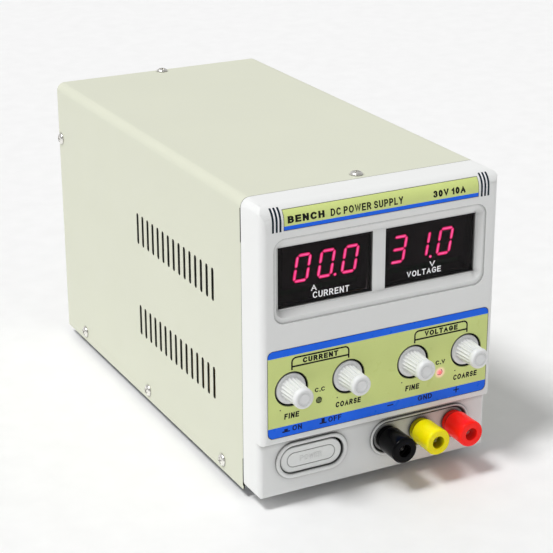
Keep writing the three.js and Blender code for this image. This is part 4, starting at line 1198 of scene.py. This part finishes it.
def make_lamp(node, material):
    middle = centre_of(node)
    low, high = layout_box(node)
    radius = LAMP_HOLE - GAP
    dome = arc(0, low.y + radius, radius, -QUARTER, 0, 8)
    flange, flange_front, flange_back = radius + 0.85, -17.9, -16.9
    profile = [(max(x, 0.0), y) for x, y in dome] + [(radius, flange_front), (flange, flange_front)]
    profile += [(flange, flange_back), (radius, flange_back), (radius, high.y), (0.0, high.y)]
    piece(f"{node}_lens", revolve(profile, middle.x, middle.z, steps=28), material, node=node)


make_lamp("cc_led", LAMP_DARK)
make_lamp("cv_led", lit_lens("cv_led"))

# ---- Controls ----

KNOB_RIBS = 18
KNOB_TIP = [  # the end's turned face: how far behind the tip, and radius
    (0.15, 4.85), (0.0, 4.5), (0.0, 3.75), (0.3, 3.55), (0.32, 2.95), (0.2, 2.8),
    (0.16, 2.55), (0.3, 2.35), (0.32, 1.2),
]


def make_knob(name, x):
    low, high = layout_box(f"{name}_knob")
    tip, back = low.y, high.y
    skirt_front, rim_start, rim_end = back - 1.6, tip + 2.7, tip + 0.7
    knob = revolve(fillet(rod(8.3, back, skirt_front), 0.3, 3), x, KNOB_Z, steps=64)
    steps = KNOB_RIBS * 8
    rings = []
    # Depth along the knob, radius over the ribs, and how deep the grooves between them are.
    rows = [(skirt_front + 0.2, 6.6, 0.0), (skirt_front - 0.1, 6.3, 0.3), (skirt_front - 0.5, 6.05, 0.6)]
    for k in range(1, 8):
        share = k / 8
        rows.append((skirt_front + (rim_start - skirt_front) * share, 6.0 - 0.7 * share, 0.62))
    rows += [(rim_start + 0.25, 5.3, 0.6), (rim_start + 0.2, 5.3, 0.0), (rim_start - 0.05, 5.45, 0.0)]
    rows += [(rim_start - 0.3, 5.5, 0.0), (rim_end + 0.5, 5.46, 0.0), (rim_end - 0.1, 5.22, 0.0)]
    rows += [(tip + behind, radius, 0.0) for behind, radius in KNOB_TIP]
    for y, radius, depth in rows:
        ring = []
        for i in range(steps):
            turn = 2 * math.pi * i / steps
            ridge = (0.5 + 0.5 * math.cos(KNOB_RIBS * turn)) ** 1.3
            reach = radius - depth * (1 - ridge)
            ring.append((x + reach * math.cos(turn), y, KNOB_Z + reach * math.sin(turn)))
        rings.append(ring)
    knob.add(loft(rings))
    piece(f"{name}_ribbed_knob", knob, KNOB_PLASTIC, node=f"{name}_knob", smooth=38, weighted=False)


for knob_name, knob_x in zip(KNOB_NAMES, KNOB_X):
    make_knob(knob_name, knob_x)


def make_button():
    low, high = layout_box("power_button")
    front, pad_back = low.y, -10.0
    outline = stadium(*BUTTON_AT, BUTTON_HALF, BUTTON_HIGH, 28)
    pad = mesh_of(slab(outline, [], front, pad_back, 0.7, 0.3, steps=5))
    outside, inside = stadium(*BUTTON_AT, 14.0, 4.2, 24), stadium(*BUTTON_AT, 13.5, 3.7, 24)
    groove = slab(outside, [inside], front - 1, front + 0.3)
    stem = revolve(rod(3.0, pad_back - 0.5, high.y), *BUTTON_AT, steps=24)
    pad = boolean(boolean(pad, groove), stem, operation="UNION")
    piece("power_button_cap", pad, BUTTON_PLASTIC, node="power_button")
    x, z = BUTTON_AT
    word = centred("POWER", x, 12.5, z - 1.4, 2.8, front - 0.09, front + 0.1, weight=0.17)
    piece("power_button_word", word, BUTTON_PLASTIC, body="power_button", weighted=False)


POST_BORE, STUD_HOLE = 3.4, 3.3


def make_terminals():
    plate_front = -17.2
    face = stadium(*TERMINAL_AT, TERMINAL_HALF - 0.9, TERMINAL_HIGH - 0.9, 28)
    back = layout_box("terminal_plate")[1].y
    studs = [centre_of(f"{name}_post_stud").x for name in POST_PLASTIC]
    holes = [circle(x, TERMINAL_AT[1], STUD_HOLE, 24) for x in studs]
    plate = slab(face, holes, plate_front, back - 1.5, 0.35, 0.0)
    rim = stadium(*TERMINAL_AT, TERMINAL_HALF + 3, TERMINAL_HIGH + 3, 28)
    plate.add(slab(rim, holes, back - 2.0, back, 0.1, 0.1))
    piece("terminal_plate_face", plate, MOULDING, node="terminal_plate")
    for name, plastic in POST_PLASTIC.items():
        make_post(name, plastic)


def make_post(name, plastic):
    z = TERMINAL_AT[1]
    x = centre_of(f"{name}_post_stud").x
    low, high = layout_box(f"{name}_post_collar")
    ring = [(POST_BORE, low.y), (5.6, low.y), (6.3, high.y - 0.9), (6.3, high.y), (POST_BORE, high.y)]
    base = revolve(fillet(ring, 0.2, 3), x, z, steps=56, closed=True)
    piece(f"{name}_post_base", base, plastic, node=f"{name}_post_collar")

    low, high = layout_box(f"{name}_post_stud")
    front, back = low.y, high.y
    socket_end, pitch, root = front + 12, 1.0, 2.72
    bar = [(0.0, socket_end), (2.1, socket_end), (2.1, front + 0.35), (2.4, front), (2.75, front)]
    crest = front + 0.4
    while crest < back - 1:
        bar += [(3.0, crest + 0.2), (root, crest + 0.7)]
        crest += pitch
    bar += [(root, back), (0.0, back)]
    stud = revolve(bar, x, z, steps=32)
    nut_front, nut_deep = -12.3, 4
    stud.add(slab(circle(x, z, 5.2, 6), [circle(x, z, 2.74, 24)], nut_front, nut_front + nut_deep, 0.3, 0.3))
    piece(f"{name}_post_screw", stud, NICKEL, node=f"{name}_post_stud")

    low, high = layout_box(f"{name}_post_washer")
    ring = fillet(hoop(POST_BORE, 4.9, low.y, high.y), 0.15, 2)
    washer = revolve(ring, x, z, steps=48, closed=True)
    piece(f"{name}_post_ring", washer, NICKEL, node=f"{name}_post_washer")

    low, high = layout_box(f"{name}_post_cap")
    front, back = low.y, high.y
    shape = [
        (POST_BORE, back), (5.9, back), (6.8, back - 0.35), (7.15, back - 1.3), (7.08, back - 5.5),
        (7.18, front + 3.0), (7.2, front + 0.8), (6.5, front), (3.5, front), (POST_BORE, front + 0.3),
        (POST_BORE, front + 1.2),
    ]
    cap = revolve(fillet(shape, 0.5, 4), x, z, steps=64, closed=True)
    piece(f"{name}_post_grip", cap, plastic, node=f"{name}_post_cap", smooth=50)


make_button()
make_terminals()

# ---- Screws and feet ----

def screw_mesh():
    """A truss-head screw with a cross recess, its head's seat at zero, pointing along +z."""
    head = [(0.0, 1.8), (1.2, 1.74), (2.2, 1.5), (2.9, 1.1), (3.3, 0.6), (3.4, 0.3), (3.3, 0.1)]
    head += [(1.4, 0.1), (1.4, -6.0), (0.0, -6.0)]
    body = mesh_of(revolve(head, 0, 0, axis="z", steps=40))
    arm, half = [(-2.0, 0.9), (-2.0, 2.2), (2.0, 2.2), (2.0, 0.9), (0.6, -0.3), (-0.6, -0.3)], 0.36
    across = prism(arm, -half, half, "x").moved(lambda a, b, c: (b, a, c))
    return boolean(body, prism(arm[::-1], -half, half, "x"), across)


def make_screws():
    template = screw_mesh()
    names = [node for node in frame["nodes"] if node.endswith("_screw")]
    for k, node in enumerate(sorted(names)):
        middle = centre_of(node)
        if node.startswith("top"):
            seat, turn = Vector((middle.x, middle.y, COVER_TOP)), Matrix.Identity(4)
        else:
            side = -1 if node.startswith("left") else 1
            seat = Vector((side * COVER_HALF, middle.y, middle.z))
            turn = Matrix.Rotation(side * QUARTER, 4, "Y")
        mesh = template.copy()
        spin = Matrix.Rotation(math.radians(23 + 37 * k), 4, "Z")  # each stopped at its own angle
        mesh.transform(Matrix.Translation(seat) @ turn @ spin)
        piece(f"{node}_truss_head", mesh, NICKEL, node=node, smooth=40)


def make_feet():
    for node in sorted(n for n in frame["nodes"] if n.endswith("_foot")):
        low, high = layout_box(node)
        middle = centre_of(node)
        profile = [
            (0.0, high.z), (8.0, high.z), (8.0, high.z - 0.6), (7.0, low.z), (4.2, low.z),
            (3.9, low.z + 2.2), (0.0, low.z + 2.2),
        ]
        foot = revolve(fillet(profile, 0.5, 3), middle.x, middle.y, axis="z", steps=48)
        piece(f"{node}_pad", foot, RUBBER, node=node)


make_screws()
make_feet()

# ---- Rear ----

PANEL_OUTER, PANEL_SHEET = 249.4, 1.2
FAN_Z = centre_of("fan_rotor").z
FAN_BORE, FAN_SIZE, FAN_HOLE = 38.0, 80.0, 71.5 / 2
INLET_AT = (centre_of("mains_inlet").x, centre_of("mains_inlet").z)
INLET_OPENING = (13.9, 15.9)  # half width and half height
INLET_BOTTOM, INLET_TOP = -13.7, 2.6  # of the socket, from the inlet's middle


def make_rear_panel():
    low, high = layout_box("rear_panel")
    half, top, inner = high.x, high.z, PANEL_OUTER - PANEL_SHEET
    corner, flange_low = BEND - SHEET, 18.0
    outside = rounded_rect(-half, half, low.z, top, 1.0, corner)
    shell = mesh_of(slab(outside, [], low.y, PANEL_OUTER, 0.0, 1.0, steps=5))
    inside = half - PANEL_SHEET
    hollow = rounded_rect(-inside, inside, low.z - 9, top - PANEL_SHEET, 1.0, corner - PANEL_SHEET)
    air = [(0, inner - 1), (FAN_BORE, inner - 1), (FAN_BORE, PANEL_OUTER - 0.25)]
    air += [(FAN_BORE + 0.35, PANEL_OUTER + 0.2), (0, PANEL_OUTER + 0.2)]
    (x, z), (wide, tall) = INLET_AT, INLET_OPENING
    inlet = rounded_rect(x - wide, x + wide, z - tall, z + tall, 1.0)
    cutters = [
        prism(hollow, low.y - 1, inner, "y"),
        block(-half - 1, half + 1, low.y - 1, inner, low.z - 1, flange_low),
        revolve(air, 0, FAN_Z, steps=72),
        prism(inlet, inner - 1, PANEL_OUTER + 1, "y"),
    ]
    piece("rear_panel_sheet", boolean(shell, *cutters), PAINT, node="rear_panel")


def make_fan():
    low, high = layout_box("fan_frame")
    front, rear = low.y, high.y
    half = FAN_SIZE / 2
    outline = rounded_rect(-half, half, FAN_Z - half, FAN_Z + half, 5.0)
    holes = [circle(a * FAN_HOLE, FAN_Z + b * FAN_HOLE, 2.15, 20) for a in (-1, 1) for b in (-1, 1)]
    shell = mesh_of(slab(outline, holes, front, rear, 0.6, 0.6))
    flare = [(0.9, front - 1), (0.6, front + 0.3), (0.0, front + 2.2)]
    flare += [(0.0, rear - 1.6), (0.5, rear - 0.3), (0.8, rear + 1)]
    bore = [(0, front - 1), *((FAN_BORE + grow, y) for grow, y in flare), (0, rear + 1)]
    shell = boolean(shell, revolve(bore, 0, FAN_Z, steps=72))
    # A pocket in the middle of each side, which leaves a wall round the bore.
    pocket, wide = 6.5, 27
    near, far = half + 1 - pocket, half + 1 + pocket
    sides = [(-far, -near, -wide, wide), (near, far, -wide, wide)]
    sides += [(-wide, wide, -far, -near), (-wide, wide, near, far)]
    wall = revolve(rod(FAN_BORE + 2, front - 1, rear + 1), 0, FAN_Z, steps=72)
    shell = boolean(shell, *(
        boolean(mesh_of(block(left, right, front + 5, rear - 5, FAN_Z + low, FAN_Z + high, 1.5)), wall)
        for left, right, low, high in sides
    ))
    hub_deep, arm_half = 3.5, 2.0
    arms = []
    for turn in (QUARTER / 2, -QUARTER / 2):
        reach = FAN_BORE + 0.5
        arm = block(-reach, reach, front + 0.1, front + hub_deep, -arm_half, arm_half, 0.5)
        cos, sin = math.cos(turn), math.sin(turn)
        arms.append(arm.moved(lambda x, y, z, c=cos, s=sin: (x * c - z * s, y, FAN_Z + x * s + z * c)))
    arms.append(revolve(fillet(rod(16.5, front, front + hub_deep), 0.5), 0, FAN_Z, steps=48))
    bearing = revolve(rod(1.7, front + 0.8, front + 5), 0, FAN_Z, steps=24)
    housing = boolean(boolean(shell, *arms, operation="UNION"), bearing)
    piece("fan_housing", housing, BLACK_PLASTIC, node="fan_frame")

    low, high = layout_box("fan_rotor")
    hub_front, hub_rear = front + 3.8, high.y
    hub = [(0.0, hub_front), (17.5, hub_front), (17.5, hub_rear - 0.2), (15.2, hub_rear), (9.0, hub_rear)]
    hub += [(8.8, hub_rear - 0.3), (0.0, hub_rear - 0.3)]
    rotor = revolve(fillet(hub, 0.7, 4), 0, FAN_Z, steps=64)
    rotor.add(revolve(rod(1.5, low.y, hub_front + 1), 0, FAN_Z, steps=16))
    middle, blades = (hub_front + hub_rear) / 2, 7
    for k in range(blades):
        rotor.add(fan_blade(2 * math.pi * k / blades, middle))
    piece("fan_impeller", rotor, BLACK_PLASTIC, node="fan_rotor", smooth=40)


def fan_blade(turn, middle):
    """A cambered blade that twists from its root to its tip."""
    root, end = 17.0, 36.6
    rings = []
    for k in range(9):
        share = k / 8
        reach = root + (end - root) * share
        pitch = 0.85 - 0.28 * share
        chord = 13.0 + 6.5 * share
        sweep = 0.16 * share * share
        upper, lower = [], []
        for i in range(9):
            t = i / 8 - 0.5
            along, camber = t * chord, 1.5 * (1 - 4 * t * t)
            thick = 0.55 * math.sqrt(max(0.03, 1 - 4 * t * t))
            for side, target in ((1, upper), (-1, lower)):
                out = camber + side * thick
                y = middle + along * math.sin(pitch) + out * math.cos(pitch)
                arc_at = turn + sweep + (along * math.cos(pitch) - out * math.sin(pitch)) / reach
                target.append((reach * math.cos(arc_at), y, FAN_Z + reach * math.sin(arc_at)))
        rings.append(upper + lower[::-1])
    return loft(rings)


def make_guard():
    wire = 0.9
    low, high = layout_box("fan_guard")
    ring_y = high.y - wire
    bar_y, leg_y = ring_y - 1.5, low.y + wire
    guard = Solid()
    for radius in (11, 19.5, 28, 36.5):
        path = [(x, ring_y, FAN_Z + z) for x, z in circle(0, 0, radius, 72)]
        guard.add(tube(path, wire, 10, closed=True))
    reach = FAN_HOLE * math.sqrt(2)
    screws = Solid()
    for k in range(4):
        turn = QUARTER / 2 + k * QUARTER
        cos, sin = math.cos(turn), math.sin(turn)
        line = [(6.5, bar_y), (34.0, bar_y), (36.6, bar_y - 0.1), (38.6, bar_y - 0.7), (41.0, bar_y - 1.6)]
        line += [(43.6, leg_y + 0.15), (45.4, leg_y), (reach - 2.6, leg_y)]
        guard.add(tube([(r * cos, y, FAN_Z + r * sin) for r, y in line], wire, 10))
        eye = [(reach * cos + u, leg_y, FAN_Z + reach * sin + v) for u, v in circle(0, 0, 3.2, 28)]
        guard.add(tube(eye, wire, 10, closed=True))
        head = [(0.0, leg_y + 2.6), (1.6, leg_y + 2.5), (2.9, leg_y + 1.9), (3.5, leg_y + 1.0)]
        head += [(1.9, leg_y + 0.8), (1.9, leg_y - 4.0), (0.0, leg_y - 4.0)]
        x, z = reach * cos, FAN_Z + reach * sin
        slots = [
            block(x - a, x + a, leg_y + 1.5, leg_y + 4, z - b, z + b) for a, b in ((1.9, 0.36), (0.36, 1.9))
        ]
        cut = boolean(mesh_of(revolve(head, x, z, steps=32)), *slots)
        screws.add(Solid([tuple(v.co) for v in cut.vertices], [list(f.vertices) for f in cut.polygons]))
    piece("fan_guard_wires", guard, NICKEL, node="fan_guard", smooth=60, weighted=False)
    piece("fan_screws", screws, NICKEL, body="case", smooth=40)


def make_inlet():
    x, z = INLET_AT
    low, high = layout_box("mains_inlet")
    face = high.y
    flange = rounded_rect(low.x, high.x, low.z, high.z, 2.5)
    housing = mesh_of(slab(flange, [], face - 2.5, face, 0.0, 0.7, steps=4))
    back = block(x - 13.3, x + 13.3, low.y, face - 1, z - 15.3, z + 15.3, 0.4)
    housing = boolean(housing, back, operation="UNION")
    chamfer, reach, bottom, top = 4.5, 12.0, z + INLET_BOTTOM, z + INLET_TOP
    corners = [
        (x - reach, bottom), (x + reach, bottom), (x + reach, top - chamfer),
        (x + reach - chamfer, top), (x - reach + chamfer, top), (x - reach, top - chamfer),
    ]
    smooth = fillet([*corners, corners[0], corners[1]], 1.2, 4)[1:-1]
    mouth = [(0.0, face - 16), (0.0, face - 0.6), (0.5, face), (0.5, face + 1)]
    socket = loft([[(u, y, v) for u, v in inset(smooth, -grow)] for grow, y in mouth])
    drawer_low, drawer_high = layout_box("fuse_drawer")
    left, right, bottom, top = drawer_low.x, drawer_high.x, drawer_low.z, drawer_high.z
    pocket = block(left - GAP, right + GAP, drawer_low.y - 1, face + 1, bottom - GAP, top + GAP)
    piece("mains_inlet_body", boolean(housing, socket, pocket), BLACK_PLASTIC, node="mains_inlet")
    pins = Solid()
    middle = z + (INLET_BOTTOM + INLET_TOP) / 2
    for k in (-1, 0, 1):
        pin_x, pin_z = x + 7 * k, middle + (2.5 if k == 0 else -1.5)
        blade = rounded_rect(pin_x - 1, pin_x + 1, pin_z - 2, pin_z + 2, 0.3, steps=3)
        pins.add(slab(blade, [], face - 16.6, face - 4, 0.0, 0.6, steps=4))
    piece("mains_inlet_pins", pins, NICKEL, body="case")

    drawer_face = drawer_high.y
    outline = rounded_rect(left, right, bottom, top, 0.8, steps=4)
    drawer = mesh_of(slab(outline, [], drawer_low.y, drawer_face, 0.3, 0.5))
    bed = block(x - 7, x + 7, drawer_low.y - 1, face - 4, bottom + 3, top + 1)
    grip = block(x - 3.4, x + 3.4, drawer_face - 0.7, drawer_face + 1, top - 2.6, top - 1.2, 0.2)
    piece("fuse_drawer_tray", boolean(drawer, bed, grip), BLACK_PLASTIC, node="fuse_drawer")


make_rear_panel()
make_fan()
make_guard()
make_inlet()

# ---- Inside ----

def make_transformer():
    low, high = layout_box("transformer")
    middle = centre_of("transformer")
    hole = 18.0
    section = rounded_rect(hole, high.x, low.z, high.z, 9.0, steps=6)
    ring = revolve(section, middle.x, middle.y, axis="z", steps=96, closed=True)
    piece("ring_core_winding", ring, winding_material(), node="transformer")


def make_capacitor():
    low, high = layout_box("filter_capacitor")
    middle = centre_of("filter_capacitor")
    radius = high.x - middle.x
    profile = [
        (0.0, low.z), (radius - 0.8, low.z), (radius, low.z + 1.2), (radius, low.z + 3.0),
        (radius - 0.7, low.z + 3.8), (radius, low.z + 4.6), (radius, high.z - 1.0),
        (radius - 1.2, high.z), (radius - 2.4, high.z - 0.5), (0.0, high.z - 0.5),
    ]
    can = revolve(fillet(profile, 0.5, 3), middle.x, middle.y, axis="z", steps=64)
    piece("filter_capacitor_can", can, CAPACITOR_SLEEVE, node="filter_capacitor")


make_transformer()
make_capacitor()
KEPT = {
    "chassis": ZINC, "transformer_clamp": ZINC, "heatsink": ALUMINIUM, "control_board": CIRCUIT,
    "main_board": CIRCUIT, "power_switch": BLACK_PLASTIC,
}
KEPT.update({f"{name}_shaft": ALUMINIUM for name in KNOB_NAMES})
for node, material in KEPT.items():
    kept = frame["nodes"][node]
    for place in kept.material_slots:
        place.material = material


# ---- Stage, lights and camera ----

def look_from(location, yaw, pitch, roll):
    """A camera matrix: yaw towards +x from +y, pitch downwards, then roll."""
    yaw, pitch, roll = (math.radians(a) for a in (yaw, pitch, roll))
    forward = Vector((
        math.sin(yaw) * math.cos(pitch), math.cos(yaw) * math.cos(pitch), -math.sin(pitch)
    ))
    right = Vector((math.cos(yaw), -math.sin(yaw), 0))
    up = right.cross(forward)
    turned_right = math.cos(roll) * right + math.sin(roll) * up
    turned_up = -math.sin(roll) * right + math.cos(roll) * up
    turn = Matrix((turned_right, turned_up, -forward)).transposed()
    return Matrix.Translation(location) @ turn.to_4x4()


def make_camera():
    lens = bpy.data.cameras.new("camera")
    lens.lens = 108.03
    lens.sensor_width = 36.0
    lens.clip_end = 40.0
    camera = bpy.data.objects.new("camera", lens)
    # The photograph's own viewpoint, fitted to the case's straight edges.
    camera.matrix_world = look_from(Vector((-0.4014, -0.7886, 0.4142)), 27.446, 21.081, -0.211)
    bpy.context.scene.collection.objects.link(camera)
    bpy.context.scene.camera = camera


def sun(name, towards, angle, strength):
    """A soft distant light; towards points from the object to it."""
    lamp = bpy.data.lights.new(name, "SUN")
    lamp.angle = math.radians(angle)
    lamp.energy = strength
    made = bpy.data.objects.new(name, lamp)
    made.rotation_euler = Vector(towards).to_track_quat("Z", "Y").to_euler()
    bpy.context.scene.collection.objects.link(made)


def make_stage():
    g = Graph("studio_floor")
    fine = g.noise(60, 3.0)
    g.set(
        Base_Color=g.scaled((0.9, 0.9, 0.9), g.span(fine, 0.3, 0.7, 0.985, 1.015)),
        Roughness=g.span(fine, 0.3, 0.7, 0.6, 0.7),
    )
    reach = 16.0
    mesh = bpy.data.meshes.new("studio_floor")
    mesh.from_pydata([(-reach, -reach, 0), (reach, -reach, 0), (reach, reach, 0), (-reach, reach, 0)],
                     [], [(0, 1, 2, 3)])
    mesh.materials.append(g.material)
    floor = bpy.data.objects.new("studio_floor", mesh)
    bpy.context.scene.collection.objects.link(floor)
    world = bpy.data.worlds.new("studio")
    bpy.context.scene.world = world
    world.use_nodes = True
    nodes, links = world.node_tree.nodes, world.node_tree.links
    parts = nodes.new("ShaderNodeSeparateXYZ")
    links.new(nodes.new("ShaderNodeTexCoord").outputs["Generated"], parts.inputs[0])
    fade = nodes.new("ShaderNodeMapRange")
    for socket, value in zip(("From Min", "From Max", "To Min", "To Max"), (-1.0, 1.0, 0.3, 0.62)):
        fade.inputs[socket].default_value = value
    links.new(parts.outputs["Y"], fade.inputs["Value"])
    background = nodes["Background"]
    background.inputs["Color"].default_value = (1.0, 1.0, 1.0, 1)
    links.new(fade.outputs["Result"], background.inputs["Strength"])
    sun("key_above_left", (-0.46, -0.06, 0.88), 16, 2.15)
    bpy.context.scene.view_settings.view_transform = "Standard"
    bpy.context.scene.view_settings.look = "None"


make_camera()
make_stage()
